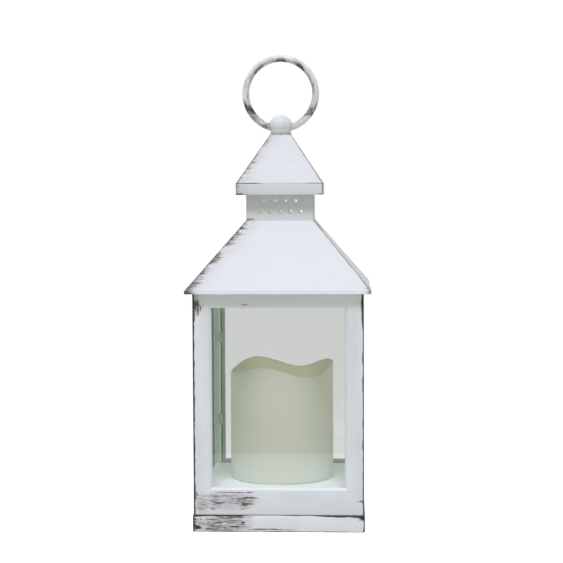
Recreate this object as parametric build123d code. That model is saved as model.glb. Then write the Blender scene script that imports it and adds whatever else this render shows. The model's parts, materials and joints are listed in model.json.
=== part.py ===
from build123d import *
import os
from math import atan, atan2, cos, degrees, sin, sqrt

# Candle lantern with glazed sides, a swinging ring and a battery candle.
# Millimetres, +Z up. The origin is the middle of the footprint on the table, and the front looks along -Y.

# Clearances
fit_gap = 0.15          # between pieces that are pushed together by hand
turn_gap = 0.08         # around a hinge pin
run_gap = 0.3           # between a moving piece and what it passes
thread_gap = 0.05       # between a screw and its pilot hole
hole_gap = 0.25         # between a screw and its clearance hole

# Side frames and panes
panel_thickness = 2.4
window_width = 75.9
window_height = 103.1
window_sill = 15.7      # from the frame's foot up to the window
window_bevel = 1.4
pane_thickness = 1.9
pane_overlap = 2.6      # how far a pane reaches behind its frame
rib_width = 1.6         # glazing rib around each pane
rib_height = 2.0
lug_length = 6.0        # small lugs that keep a pane in its ribs
lug_overhang = 0.9
lug_thickness = 1.0
corner_gap = 1.25       # inside a corner, between one frame's rib and the next frame's lugs
head_gap = 1.0          # between the upper rib and the corner tabs
foot_gap = 0.1          # between the lower rib and the corner blocks
tab_reach = 9.9         # corner tabs at the frame's top, which take the roof screws
tab_thickness = 3.0
block_size = 6.6        # corner blocks at the frame's foot, which take the base screws and carry the floor

# Base and floor
plinth_step = 0.5       # how far the plinth stands out from the frames
plinth_height = 9.8
plinth_wall = 2.5
ledge_thickness = 2.4
tray_wall = 2.2
tray_recess = 4.0       # from the table up to the tray's underside
tray_thickness = 2.6
floor_thickness = 2.2
peg_radius = 1.3
peg_length = 3.5
peg_inset = 2.2

# Roof
eave_overhang = 4.2
eave_thickness = 1.4
roof_lip = 0.4
roof_rise = 39.3
roof_wall = 2.0
roof_crown = 2.0        # flat top plate under the collar
boss_radius = 3.0

# Vent collar
collar_width = 39.4
collar_height = 14.9
collar_wall = 1.6
collar_plate = 2.0
collar_boss_height = 3.6
collar_screw_inset = 3.8  # screw's middle from the tube's inner wall
vent_width = 22.0       # square way through roof, collar and cap
vent_hole_radius = 1.35
vent_pitch = 6.0
lower_vent_count = 5
lower_vent_height = 5.0     # above the collar's foot
upper_vent_count = 4
upper_vent_height = 11.3

# Top cap
cap_overhang = 5.6
cap_rim_height = 6.7
cap_rise = 28.7
cap_top_width = 12.6
cap_wall = 2.0
cap_crown = 6.0         # solid part under the knob
collar_set = 0.6        # how far the collar's flange sits up inside the cap

# Knob and ring
ball_radius = 6.5
ball_lift = 5.6         # ball's centre above the cap
neck_radius = 5.7
tenon_radius = 3.0
ring_axis_drop = 1.37   # ring's axis below the ball's centre
ring_radius = 20.8
ring_wire_radius = 2.05
ring_stub = 3.0         # straight end of the wire, measured from the middle of the knob
ring_end_gap = 1.2      # between the two ends of the wire
ring_bend_radius = 10.0
washer_radius = 5.4
washer_thickness = 1.0

# Screws
screw_radius = 1.25
screw_head_radius = 2.3
screw_head_height = 1.6
screw_length = 7.0
screw_slot_width = 0.6
screw_slot_depth = 0.7
screw_slot_reach = 0.7      # half the slot's length, as a share of the head's radius
small_screw_radius = 0.9
small_head_radius = 1.7
small_head_height = 1.2

# Candle
candle_radius = 30.8
candle_wall = 2.4
candle_dish_height = 43.8   # dish above the shell's foot
candle_dish_thickness = 2.2
rim_start = 60.4            # heights of the wavy rim above the shell's foot
rim_crest = 68.1
rim_trough = 61.7
rim_end = 67.6
crest_at = -14.8            # where the crest and the trough lie across the candle
trough_at = 12.0
wave_skew = 0.115           # the wave runs slightly askew from front to back
wave_reach = 1.3            # how far the wave is drawn, as a share of the candle's radius
socket_height = 18.2
socket_wall = 2.0
socket_foot = 0.8
socket_foot_radius = 30.2
socket_screw_circle = 22.0
post_radius = 4.0
post_bore_radius = 2.2
post_foot_radius = 6.0
post_foot_thickness = 1.5
spigot_wall = 1.0           # wall of the post's spigot in the socket
post_rise = 1.2             # diode's seat above the dish's underside
diode_radius = 2.5
diode_flange_radius = 2.9
diode_flange_height = 1.0
diode_height = 8.6
lead_width = 0.5
lead_pitch = 2.54

# Circuit board
board_length = 22.0
board_width = 14.0
board_thickness = 1.2
board_drop = 5.0            # board's top below the socket's top plate
board_screw_at = 8.0
board_post_radius = 2.2

# Battery box and door
cell_radius = 5.25
cell_length = 44.5
cell_button_radius = 1.9
cell_button_length = 1.0
cell_count = 3
cell_gap = 0.4
cell_side_gap = 0.55
box_wall = 2.0
box_roof = 1.6
box_y = 13.0
spring_length = 2.6
spring_radius = 3.6
contact_thickness = 0.4
contact_width = 8.0
contact_tab_width = 3.0
contact_tab_rise = 1.8      # tab above the box's roof
door_thickness = 1.8
door_ledge = 1.0
door_gap = 0.25
door_pin_radius = 0.6
door_pin_length = 1.5
notch_length = 12.0
notch_width = 4.0

# Switch
switch_y = -22.0
switch_length = 14.0
switch_width = 7.0
switch_height = 6.4
switch_flange_length = 22.0
switch_flange_thickness = 1.2
switch_screw_at = 9.0
switch_travel = 4.0
slider_length = 6.0
slider_width = 3.6
slider_height = 2.2
stem_length = 3.6
stem_width = 2.4
stem_proud = 1.0            # how far the slider stands out of the tray
terminal_at = 3.0
terminal_width = 1.4
terminal_height = 2.5

# Wires
wire_radius = 0.6
wire_bend = 2.0
wire_slot_length = 22.0
wire_slot_width = 4.0
wire_slot_y = -4.5

# Levels and half widths that follow from the sizes above
glazing_margin = pane_overlap + rib_width
stile_width = glazing_margin + corner_gap + lug_thickness + rib_height + panel_thickness
body_width = window_width + 2 * stile_width
body_height = window_sill + window_height + glazing_margin + head_gap + tab_thickness
block_height = window_sill - glazing_margin - foot_gap
half_body = body_width / 2
half_inner = half_body - panel_thickness
frame_low = plinth_height
frame_high = frame_low + body_height
window_middle = frame_low + window_sill + window_height / 2
pocket_width = window_width + 2 * pane_overlap
pocket_height = window_height + 2 * pane_overlap
roof_screw_at = half_inner - tab_reach / 2
base_screw_at = half_inner - block_size / 2
plinth_width = body_width + 2 * plinth_step
tray_half = base_screw_at - screw_head_radius - hole_gap
tray_high = tray_recess + tray_thickness
floor_low = frame_low + block_height
floor_high = floor_low + floor_thickness
floor_width = 2 * (half_inner - rib_height - run_gap)
peg_at = floor_width / 2 - peg_inset
eave_width = body_width + 2 * eave_overhang
eave_opening = 2 * (half_inner - tab_reach)
roof_low = frame_high + eave_thickness
roof_high = roof_low + roof_lip + roof_rise
collar_screw_at = collar_width / 2 - collar_wall - collar_screw_inset
cap_width = collar_width + 2 * cap_overhang
cap_low = roof_high + collar_height
cap_rim_high = cap_low + cap_rim_height
cap_high = cap_rim_high + cap_rise
crown_low = cap_high - cap_crown
flange_low = cap_low + collar_set
flange_high = flange_low + collar_plate
ball_z = cap_high + ball_lift
ring_axis_z = ball_z - ring_axis_drop
shell_low = floor_high + socket_foot
shell_inner = candle_radius - candle_wall
dish_low = shell_low + candle_dish_height
socket_high = shell_low + socket_height
socket_plate_low = socket_high - socket_wall
board_high = socket_plate_low - board_drop
board_low = board_high - board_thickness
diode_low = dish_low + post_rise
spigot_radius = post_bore_radius + spigot_wall
door_high = tray_recess + door_thickness
cell_z = door_high + run_gap + cell_radius
box_inner_high = cell_z + cell_radius + run_gap
box_high = box_inner_high + box_roof
cell_pitch = 2 * cell_radius + cell_gap
box_length = cell_length + spring_length + 2 * contact_thickness
box_width = cell_count * 2 * cell_radius + (cell_count - 1) * cell_gap + 2 * cell_side_gap
door_pin_x = -box_length / 2 - door_ledge + door_gap + door_thickness / 2
door_pin_z = tray_recess + door_thickness / 2
door_half_width = box_width / 2 + door_ledge - door_gap
wire_z = (box_high + floor_low) / 2
corners = [(x, y) for x in (-1, 1) for y in (-1, 1)]


# Shapes used by several pieces

def block(length, width, low, high, x=0.0, y=0.0):
    """Upright block from one level to another."""
    return Pos(x, y, (low + high) / 2) * Box(length, width, high - low)


def square(width, low, high):
    """Square slab around the middle."""
    return block(width, width, low, high)


def rod(radius, low, high, x=0.0, y=0.0):
    """Upright round bar."""
    return Pos(x, y, (low + high) / 2) * Cylinder(radius, high - low)


def upright_panel(width, height, near, far):
    """Flat panel in the front wall, centred on the window, from one depth to another."""
    return Pos(0, (near + far) / 2, window_middle) * Box(width, far - near, height)


def frustum(bottom, top, low, high):
    """Square pyramid without its tip."""
    lean = degrees(atan((bottom - top) / 2 / (high - low)))
    return extrude(Pos(0, 0, low) * Rectangle(bottom, bottom), amount=high - low, taper=lean)


def hollow_frustum(bottom, top, low, high, wall, ceiling):
    """Space inside a square pyramid that leaves an even wall, up to the given ceiling."""
    run = (bottom - top) / 2
    inset = wall * sqrt(run ** 2 + (high - low) ** 2) / (high - low)
    ceiling_width = bottom - 2 * run * (ceiling - low) / (high - low)
    return frustum(bottom - 2 * inset, ceiling_width - 2 * inset, low, ceiling)


def group(solids):
    """Several separate solids in one piece."""
    return Part() + solids


def screw(
    x, y, seat, length, up=True, radius=screw_radius, head=screw_head_radius, thick=screw_head_height
):
    """Pan-head screw with a crossed slot, whose head bears on the seat level."""
    shank = rod(radius, 0, length)
    cap = rod(head, -thick, 0)
    slot = 2 * screw_slot_reach * head
    for length_x, length_y in ((slot, screw_slot_width), (screw_slot_width, slot)):
        cap -= block(length_x, length_y, -thick, -thick + screw_slot_depth)
    whole = shank + cap
    if not up:
        whole = Rot(180, 0, 0) * whole
    return Pos(x, y, seat) * whole


def corner_screws(reach, seat, length):
    """Four screws driven upwards at the corners of a square."""
    return group([screw(reach * x, reach * y, seat, length) for x, y in corners])


def corner_rods(radius, low, high, reach):
    """Four upright bars at the corners of a square, for holes and bosses."""
    return group([rod(radius, low, high, reach * x, reach * y) for x, y in corners])


# Side frames and panes

def side_frame(with_corners):
    """Front wall with its window, glazing ribs and lugs. The front and back walls also carry the corners."""
    plan = Polygon(
        (-half_body, -half_body),
        (half_body, -half_body),
        (half_inner, -half_inner),
        (-half_inner, -half_inner),
        align=None,
    )
    frame = extrude(Pos(0, 0, frame_low) * plan, amount=body_height)
    rib_face = -half_inner + rib_height
    rib_across = pocket_width + 2 * rib_width
    rib_along = pocket_height + 2 * rib_width
    frame += upright_panel(rib_across, rib_along, -half_inner, rib_face)
    frame -= upright_panel(pocket_width, pocket_height, -half_inner, rib_face)
    frame -= upright_panel(window_width, window_height, -half_body, -half_inner)
    face = Plane((0, -half_body, window_middle), x_dir=(1, 0, 0), z_dir=(0, 1, 0))
    mouth = face * Rectangle(window_width + 2 * window_bevel, window_height + 2 * window_bevel)
    frame -= extrude(mouth, amount=window_bevel, taper=45)
    lug = Box(rib_width + lug_overhang, lug_thickness, lug_length)
    lug_x = pocket_width / 2 + (rib_width - lug_overhang) / 2
    for side in (-1, 1):
        for height in (-window_height / 4, window_height / 4):
            frame += Pos(side * lug_x, rib_face + lug_thickness / 2, window_middle + height) * lug
    if with_corners:
        frame = frame + [corner_tab(side) for side in (-1, 1)] + [corner_block(side) for side in (-1, 1)]
    return frame


def corner_tab(side):
    """Tab at a top corner of the front wall, with the roof screw's hole."""
    reach = tab_reach - fit_gap
    middle = half_inner - fit_gap - reach / 2
    tab = block(reach, tab_reach, frame_high - tab_thickness, frame_high, side * middle, -roof_screw_at)
    hole = rod(screw_radius + hole_gap, frame_low, frame_high, side * roof_screw_at, -roof_screw_at)
    return tab - hole


def corner_block(side):
    """Block at a bottom corner of the front wall, for a base screw below and a floor peg above."""
    reach = block_size - fit_gap
    middle = half_inner - fit_gap - reach / 2
    body = block(reach, block_size, frame_low, floor_low, side * middle, -base_screw_at)
    pilot = rod(
        screw_radius + thread_gap, frame_low, frame_low + screw_length, side * base_screw_at, -base_screw_at
    )
    socket_low = floor_low - peg_length - fit_gap
    socket = rod(peg_radius + thread_gap, socket_low, floor_low, side * peg_at, -peg_at)
    return body - pilot - socket


def pane():
    """Glass of the front wall, held between the ribs and the lugs."""
    return upright_panel(
        pocket_width - 2 * fit_gap, pocket_height - 2 * fit_gap, -half_inner, -half_inner + pane_thickness
    )


# Roof, collar and cap

def eave_plate():
    """Flat plate between the frames and the roof, whose edge is the thin eave."""
    plate = square(eave_width, frame_high, roof_low) - square(eave_opening, frame_high, roof_low)
    return plate - corner_rods(screw_radius + hole_gap, frame_high, roof_low, roof_screw_at)


def roof():
    """Large hollow pyramid, open below, with a boss for each roof screw."""
    slope_low = roof_low + roof_lip
    outside = square(eave_width, roof_low, slope_low)
    outside += frustum(eave_width, collar_width, slope_low, roof_high)
    ceiling = roof_high - roof_crown
    shell = outside - hollow_frustum(eave_width, collar_width, slope_low, roof_high, roof_wall, ceiling)
    inset = roof_wall * sqrt(1 + ((eave_width - collar_width) / 2 / roof_rise) ** 2)
    shell -= square(eave_width - 2 * inset, roof_low, slope_low)
    shell += corner_rods(boss_radius, roof_low, roof_high, roof_screw_at) & outside
    screw_tip = frame_high - tab_thickness + screw_length
    shell -= corner_rods(screw_radius + thread_gap, roof_low, screw_tip, roof_screw_at)
    shell -= square(vent_width, ceiling, roof_high)
    return shell - corner_rods(screw_radius + hole_gap, ceiling, roof_high, collar_screw_at)


def vent_collar():
    """Square tube with two rows of holes, a foot on the roof and a flange up inside the cap."""
    tube = square(collar_width, roof_high, flange_high)
    flange = square(cap_width - 2 * cap_inset() - 2 * fit_gap, flange_low, flange_high)
    collar = tube + flange
    collar -= square(collar_width - 2 * collar_wall, roof_high + collar_plate, flange_low)
    boss_high = roof_high + collar_boss_height
    collar += corner_rods(boss_radius, roof_high, boss_high, collar_screw_at)
    collar -= square(vent_width, roof_high, flange_high)
    collar -= corner_rods(screw_radius + thread_gap, roof_high, boss_high, collar_screw_at)
    collar -= corner_rods(screw_radius + hole_gap, flange_low, flange_high, collar_screw_at)
    drill = Rot(90, 0, 0) * Cylinder(vent_hole_radius, 2 * collar_width)
    rows = ((lower_vent_count, lower_vent_height), (upper_vent_count, upper_vent_height))
    for count, height in rows:
        for place in range(count):
            across = (place - (count - 1) / 2) * vent_pitch
            one_way = Pos(across, 0, roof_high + height) * drill
            collar = collar - one_way - Rot(0, 0, 90) * one_way
    return collar


def cap_inset():
    """Level width of the cap's wall, which is even along its slope."""
    run = (cap_width - cap_top_width) / 2
    return cap_wall * sqrt(run ** 2 + cap_rise ** 2) / cap_rise


def top_cap():
    """Small hollow pyramid with an upright rim and a solid crown, drilled for the knob."""
    rim = square(cap_width, cap_low, cap_rim_high)
    outside = rim + frustum(cap_width, cap_top_width, cap_rim_high, cap_high)
    cap = outside - square(cap_width - 2 * cap_inset(), cap_low, cap_rim_high)
    cap -= hollow_frustum(cap_width, cap_top_width, cap_rim_high, cap_high, cap_wall, crown_low)
    cap += corner_rods(boss_radius, flange_high, cap_high, collar_screw_at) & outside
    cap -= corner_rods(screw_radius + thread_gap, flange_high, flange_low + screw_length, collar_screw_at)
    return cap - rod(tenon_radius + fit_gap, crown_low, cap_high)


# Knob and ring

def ring_lift():
    """Height of the ring's centre above its axis."""
    return ring_bend_radius + sqrt((ring_radius - ring_bend_radius) ** 2 - ring_stub ** 2)


def finial_knob():
    """Ball on a short neck, bored across for the ring, with a tenon that goes through the cap."""
    knob = Pos(0, 0, ball_z) * Sphere(ball_radius)
    knob += rod(neck_radius, cap_high, ball_z)
    past_ball = 4 * ball_radius
    knob -= square(past_ball, cap_high - past_ball, cap_high)
    knob += rod(tenon_radius, crown_low, cap_high)
    lift = ring_lift() - sqrt(ring_radius ** 2 - ball_radius ** 2)
    mouth = lift + ring_wire_radius / sqrt(1 - (ball_radius / ring_radius) ** 2) + run_gap
    bore = ring_wire_radius + turn_gap
    axis = Pos(0, 0, ring_axis_z)
    knob -= axis * Rot(0, 90, 0) * Cylinder(bore, past_ball)
    flare = Cone(bore, mouth, ball_radius - ring_stub)
    for side in (-1, 1):
        knob -= axis * Pos(side * (ball_radius + ring_stub) / 2, 0, 0) * Rot(0, side * 90, 0) * flare
    return knob - rod(screw_radius + thread_gap, crown_low, crown_low - washer_thickness + screw_length)


def ring_handle():
    """Bent wire ring whose straight ends meet inside the knob and turn there."""
    middle_z = ring_axis_z + ring_lift()
    turn = atan2(ring_stub, ring_lift() - ring_bend_radius)
    bend_z = ring_axis_z + ring_bend_radius

    def on_bend(side, angle):
        across = ring_stub + ring_bend_radius * sin(angle)
        return (side * across, 0, bend_z - ring_bend_radius * cos(angle))

    right_end = Line((ring_end_gap / 2, 0, ring_axis_z), (ring_stub, 0, ring_axis_z))
    right_bend = ThreePointArc(right_end @ 1, on_bend(1, turn / 2), on_bend(1, turn))
    loop = ThreePointArc(right_bend @ 1, (0, 0, middle_z + ring_radius), on_bend(-1, turn))
    left_bend = ThreePointArc(loop @ 1, on_bend(-1, turn / 2), on_bend(-1, 0))
    left_end = Line(left_bend @ 1, (-ring_end_gap / 2, 0, ring_axis_z))
    path = Wire([right_end, right_bend, loop, left_bend, left_end])
    return sweep(Plane(path @ 0, z_dir=path % 0) * Circle(ring_wire_radius), path=path)


def finial_washer():
    """Washer under the cap's crown."""
    low = crown_low - washer_thickness
    return rod(washer_radius, low, crown_low) - rod(screw_radius + hole_gap, low, crown_low)


# Base, floor and battery door

def base_plinth():
    """Plinth with a ledge for the frames and a sunk tray that holds the battery box and the switch."""
    base = square(plinth_width, 0, plinth_height)
    base -= square(plinth_width - 2 * plinth_wall, 0, plinth_height - ledge_thickness)
    base += square(2 * tray_half, tray_recess, plinth_height)
    base -= square(2 * (tray_half - tray_wall), tray_high, plinth_height)
    base -= square(2 * tray_half, 0, tray_recess)
    base += block(box_length + 2 * box_wall, box_width + 2 * box_wall, tray_recess, box_high, 0, box_y)
    base -= block(box_length, box_width, tray_recess, box_inner_high, 0, box_y)
    recess_length = box_length + 2 * door_ledge
    recess_width = box_width + 2 * door_ledge
    base -= block(recess_length, recess_width, tray_recess, door_high, 0, box_y)
    base -= block(
        notch_width, notch_length, tray_recess, door_high, (recess_length + notch_width) / 2, box_y
    )
    base -= door_axis() * Cylinder(door_pin_radius + turn_gap, recess_width + 2 * door_pin_length)
    tab_slot = Box(contact_thickness + 2 * fit_gap, contact_tab_width + 2 * fit_gap, 2 * box_roof)
    for end, number in ((-1, 0), (1, cell_count - 1)):
        x = end * (box_length - contact_thickness) / 2
        base -= Pos(x, cell_place(number)[0], box_high) * tab_slot
    stem_slot = stem_length + switch_travel + 2 * run_gap
    base -= block(stem_slot, stem_width + 2 * run_gap, tray_recess, tray_high, 0, switch_y)
    pilot = rod(small_screw_radius + thread_gap, tray_recess + fit_gap, tray_high, switch_screw_at, switch_y)
    base = base - pilot - mirror(pilot, Plane.YZ)
    ledge_low = plinth_height - ledge_thickness
    return base - corner_rods(screw_radius + hole_gap, ledge_low, plinth_height, base_screw_at)


def door_axis():
    """Place of the battery door's hinge line, along Y."""
    return Pos(door_pin_x, box_y, door_pin_z) * Rot(90, 0, 0)


def battery_door():
    """Door in the underside, with a rounded edge and two pins to swing on."""
    far_edge = box_length / 2 + door_ledge - door_gap
    length = far_edge - door_pin_x
    door = block(length, 2 * door_half_width, tray_recess, door_high, door_pin_x + length / 2, box_y)
    door += door_axis() * Cylinder(door_thickness / 2, 2 * door_half_width)
    return door + door_axis() * Cylinder(door_pin_radius, 2 * (door_half_width + door_pin_length))


def floor_plate():
    """Floor of the lantern, pegged to the frames' corner blocks."""
    floor = square(floor_width, floor_low, floor_high)
    floor += corner_rods(peg_radius, floor_low - peg_length, floor_low, peg_at)
    floor -= block(wire_slot_length, wire_slot_width, floor_low, floor_high, 0, wire_slot_y)
    for x, y in socket_screw_places():
        floor -= rod(screw_radius + hole_gap, floor_low, floor_high, x, y)
    return floor


# Candle

def socket_screw_places():
    """Three places around the candle's socket."""
    ring = PolarLocations(socket_screw_circle, 3, start_angle=90)
    return [(place.position.X, place.position.Y) for place in ring]


def candle_shell():
    """Hollow candle with a wavy rim and a dish around the light."""
    high = shell_low + max(rim_crest, rim_end) + candle_wall
    shell = rod(candle_radius, shell_low, high) - rod(shell_inner, shell_low, high)
    shell += rod(shell_inner, dish_low, dish_low + candle_dish_thickness)
    shell -= rod(post_radius + run_gap, dish_low, dish_low + candle_dish_thickness)
    beyond = wave_reach * candle_radius
    wave = Spline(
        (-beyond, shell_low + 2 * rim_start - rim_crest),
        (-candle_radius, shell_low + rim_start),
        (crest_at, shell_low + rim_crest),
        (trough_at, shell_low + rim_trough),
        (candle_radius, shell_low + rim_end),
        (beyond, shell_low + rim_end),
    )
    roof_line = Polyline(wave @ 1, (beyond, high + candle_radius), (-beyond, high + candle_radius), wave @ 0)
    above = Plane.XZ * make_face([wave, roof_line])
    return shell - extrude(above, amount=2 * candle_radius, dir=(-wave_skew, 1, 0), both=True)


def candle_socket():
    """Pale cup inside the candle's foot, with columns for its screws and posts for the circuit board."""
    outer = shell_inner - fit_gap
    socket = rod(socket_foot_radius, floor_high, shell_low) + rod(outer, floor_high, socket_high)
    socket -= rod(outer - socket_wall, floor_high, socket_plate_low)
    for x, y in socket_screw_places():
        socket += rod(boss_radius, floor_high, socket_plate_low, x, y)
        socket -= rod(screw_radius + thread_gap, floor_high, floor_low + screw_length, x, y)
    for side in (-1, 1):
        socket += rod(board_post_radius, board_high, socket_plate_low, side * board_screw_at)
        socket -= rod(small_screw_radius + thread_gap, board_high, socket_plate_low, side * board_screw_at)
    return socket - rod(spigot_radius + fit_gap, socket_plate_low, socket_high)


def diode_post():
    """Hollow post that carries the diode, with a spigot in the socket's top."""
    post = rod(post_radius, socket_high, diode_low)
    post += rod(post_foot_radius, socket_high, socket_high + post_foot_thickness)
    post += rod(spigot_radius, socket_plate_low, socket_high)
    return post - rod(post_bore_radius, socket_plate_low, diode_low)


def diode():
    """Round-topped diode whose two leads run down the post to the board."""
    lamp = rod(diode_radius, diode_low, diode_low + diode_height - diode_radius)
    lamp += Pos(0, 0, diode_low + diode_height - diode_radius) * Sphere(diode_radius)
    lamp += rod(diode_flange_radius, diode_low, diode_low + diode_flange_height)
    for side in (-1, 1):
        lamp += block(lead_width, lead_width, board_high, diode_low, side * lead_pitch / 2)
    return lamp


def circuit_board():
    """Small board under the socket's top plate."""
    board = block(board_length, board_width, board_low, board_high)
    for side in (-1, 1):
        board -= rod(small_screw_radius + hole_gap, board_low, board_high, side * board_screw_at)
    return board


# Batteries, switch and wires

def cell_place(number):
    """Middle of a cell across the box, and which way its button points. Neighbours point opposite ways."""
    return box_y + (number - (cell_count - 1) / 2) * cell_pitch, 1 if number % 2 == 0 else -1


def battery(number):
    """Round cell with a button at one end, pushed against its contact by the spring."""
    y, way = cell_place(number)
    button_end = box_length / 2 - contact_thickness
    can_length = cell_length - cell_button_length
    along_x = Rot(0, 90, 0)
    can = along_x * Cylinder(cell_radius, can_length)
    button = along_x * Cylinder(cell_button_radius, cell_button_length)
    cell = Pos(button_end - cell_button_length - can_length / 2, 0, 0) * can
    cell += Pos(button_end - cell_button_length / 2, 0, 0) * button
    if way < 0:
        cell = Rot(0, 0, 180) * cell
    return Pos(0, y, cell_z) * cell


def contact_spring(number):
    """Cone spring between a cell and its contact, as a plain solid."""
    y, way = cell_place(number)
    cone = Cone(spring_radius, cell_button_radius, spring_length)
    x = -way * (box_length / 2 - contact_thickness - spring_length / 2)
    return Pos(x, y, cell_z) * Rot(0, way * 90, 0) * cone


def contact_plate(end, first, last, tab):
    """Contact at one end of the box that joins a run of cells. An outer one has a tab for a wire."""
    y_first = cell_place(first)[0]
    y_last = cell_place(last)[0]
    x = end * (box_length - contact_thickness) / 2
    width = y_last - y_first + contact_width
    low = cell_z - contact_width / 2
    plate = block(contact_thickness, width, low, low + contact_width, x, (y_first + y_last) / 2)
    if tab:
        plate += block(contact_thickness, contact_tab_width, low, box_high + contact_tab_rise, x, y_first)
    return plate


def switch_body():
    """Body of the slide switch, open below for its slider, with two terminals on top."""
    high = tray_high + switch_height
    flange = tray_high + switch_flange_thickness
    body = block(switch_length, switch_width, tray_high, high, 0, switch_y)
    body += block(switch_flange_length, switch_width, tray_high, flange, 0, switch_y)
    body -= block(
        slider_length + switch_travel + 2 * run_gap, slider_width + 2 * run_gap, tray_high,
        tray_high + slider_height + 2 * fit_gap, 0, switch_y,
    )
    for side in (-1, 1):
        body += block(
            terminal_width, terminal_width, high, high + terminal_height, side * terminal_at, switch_y
        )
        body -= rod(small_screw_radius + hole_gap, tray_high, flange, side * switch_screw_at, switch_y)
    return body


def switch_slider():
    """Slider at its off end, with a stem that stands out of the tray's underside."""
    x = -switch_travel / 2
    low = tray_high + fit_gap
    slider = block(slider_length, slider_width, low, low + slider_height, x, switch_y)
    return slider + block(stem_length, stem_width, tray_recess - stem_proud, low, x, switch_y)


def wire(points):
    """Insulated wire along straight runs with rounded corners."""
    path = FilletPolyline(*points, radius=wire_bend)
    print("wire", round(path.length, 1), "mm")
    return sweep(Plane(path @ 0, z_dir=path % 0) * Circle(wire_radius), path=path)


def wire_routes():
    """Routes of the three wires, over the battery box and up through the floor's slot."""
    contact_x = box_length / 2 - contact_thickness
    first_y = cell_place(0)[0]
    last_y = cell_place(cell_count - 1)[0]
    board_x = board_screw_at - 2 * wire_radius
    terminal_z = tray_high + switch_height + terminal_height
    return {
        "battery_wire": [
            (contact_x, last_y, wire_z),
            (contact_x / 2, last_y, wire_z),
            (board_x, wire_slot_y, wire_z),
            (board_x, wire_slot_y, board_low),
        ],
        "return_wire": [
            (-contact_x, first_y, wire_z),
            (-contact_x / 2, first_y, wire_z),
            (-terminal_at, switch_y, wire_z),
            (-terminal_at, switch_y, terminal_z),
        ],
        "switch_wire": [
            (terminal_at, switch_y, terminal_z),
            (terminal_at, switch_y, wire_z),
            (-board_x / 2, wire_slot_y, wire_z),
            (-board_x / 2, wire_slot_y, board_low),
        ],
    }


# All pieces by name

pieces = {
    "ring_handle": ring_handle(),
    "finial_knob": finial_knob(),
    "finial_washer": finial_washer(),
    "finial_screw": screw(0, 0, crown_low - washer_thickness, screw_length),
    "top_cap": top_cap(),
    "cap_screws": corner_screws(collar_screw_at, flange_low, screw_length),
    "vent_collar": vent_collar(),
    "collar_screws": corner_screws(collar_screw_at, roof_high - roof_crown, roof_crown + collar_boss_height),
    "roof": roof(),
    "eave_plate": eave_plate(),
    "roof_screws": corner_screws(roof_screw_at, frame_high - tab_thickness, screw_length),
    "floor_plate": floor_plate(),
    "base_plinth": base_plinth(),
    "base_screws": corner_screws(
        base_screw_at, plinth_height - ledge_thickness, ledge_thickness + screw_length - fit_gap
    ),
    "battery_door": battery_door(),
    "candle_shell": candle_shell(),
    "candle_socket": candle_socket(),
    "socket_screws": group([screw(x, y, floor_low, screw_length) for x, y in socket_screw_places()]),
    "diode_post": diode_post(),
    "diode": diode(),
    "circuit_board": circuit_board(),
    "board_screws": group(
        [
            screw(
                side * board_screw_at, 0, board_low, board_thickness + board_drop - fit_gap, True,
                small_screw_radius, small_head_radius, small_head_height,
            )
            for side in (-1, 1)
        ]
    ),
    "contact_springs": group([contact_spring(number) for number in range(cell_count)]),
    "contact_plates": group(
        [
            contact_plate(-1, 0, 0, True),
            contact_plate(-1, 1, 2, False),
            contact_plate(1, 0, 1, False),
            contact_plate(1, 2, 2, True),
        ]
    ),
    "switch_body": switch_body(),
    "switch_slider": switch_slider(),
    "switch_screws": group(
        [
            screw(
                side * switch_screw_at, switch_y, tray_high + switch_flange_thickness,
                switch_flange_thickness + tray_thickness - 2 * fit_gap, False,
                small_screw_radius, small_head_radius, small_head_height,
            )
            for side in (-1, 1)
        ]
    ),
}

for turn, side in enumerate(("front", "right", "back", "left")):
    pieces[side + "_frame"] = Rot(0, 0, 90 * turn) * side_frame(side in ("front", "back"))
    pieces[side + "_pane"] = Rot(0, 0, 90 * turn) * pane()
for number in range(cell_count):
    pieces["battery_%d" % (number + 1)] = battery(number)
for name, route in wire_routes().items():
    pieces[name] = wire(route)

os.makedirs("parts", exist_ok=True)
for name, shape in pieces.items():
    export_step(shape, "parts/%s.step" % name)
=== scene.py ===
"""Candle lantern with brushed white paint, glazed sides, a wavy battery candle and a swinging ring."""

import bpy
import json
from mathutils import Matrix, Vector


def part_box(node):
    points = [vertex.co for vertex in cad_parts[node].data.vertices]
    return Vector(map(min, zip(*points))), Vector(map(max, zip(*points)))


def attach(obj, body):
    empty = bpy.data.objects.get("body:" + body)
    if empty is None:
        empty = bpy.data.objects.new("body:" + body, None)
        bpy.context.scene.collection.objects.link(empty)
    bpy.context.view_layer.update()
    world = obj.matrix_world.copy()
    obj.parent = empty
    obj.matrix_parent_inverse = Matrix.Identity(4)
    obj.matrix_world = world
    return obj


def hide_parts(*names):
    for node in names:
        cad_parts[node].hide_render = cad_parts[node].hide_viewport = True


bl_info = {
    "name": "Candle Lantern",
    "version": (1, 0, 0),
    "blender": (4, 5, 0),
    "location": "View3D > Sidebar > Lantern",
    "description": "Dresses a candle lantern with rubbed paint, glass, a wavy candle and a ring",
    "category": "Object",
}

import json
import math

import bmesh
import bpy
from bpy.props import FloatProperty, FloatVectorProperty, PointerProperty
from mathutils import Matrix, Vector

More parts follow.
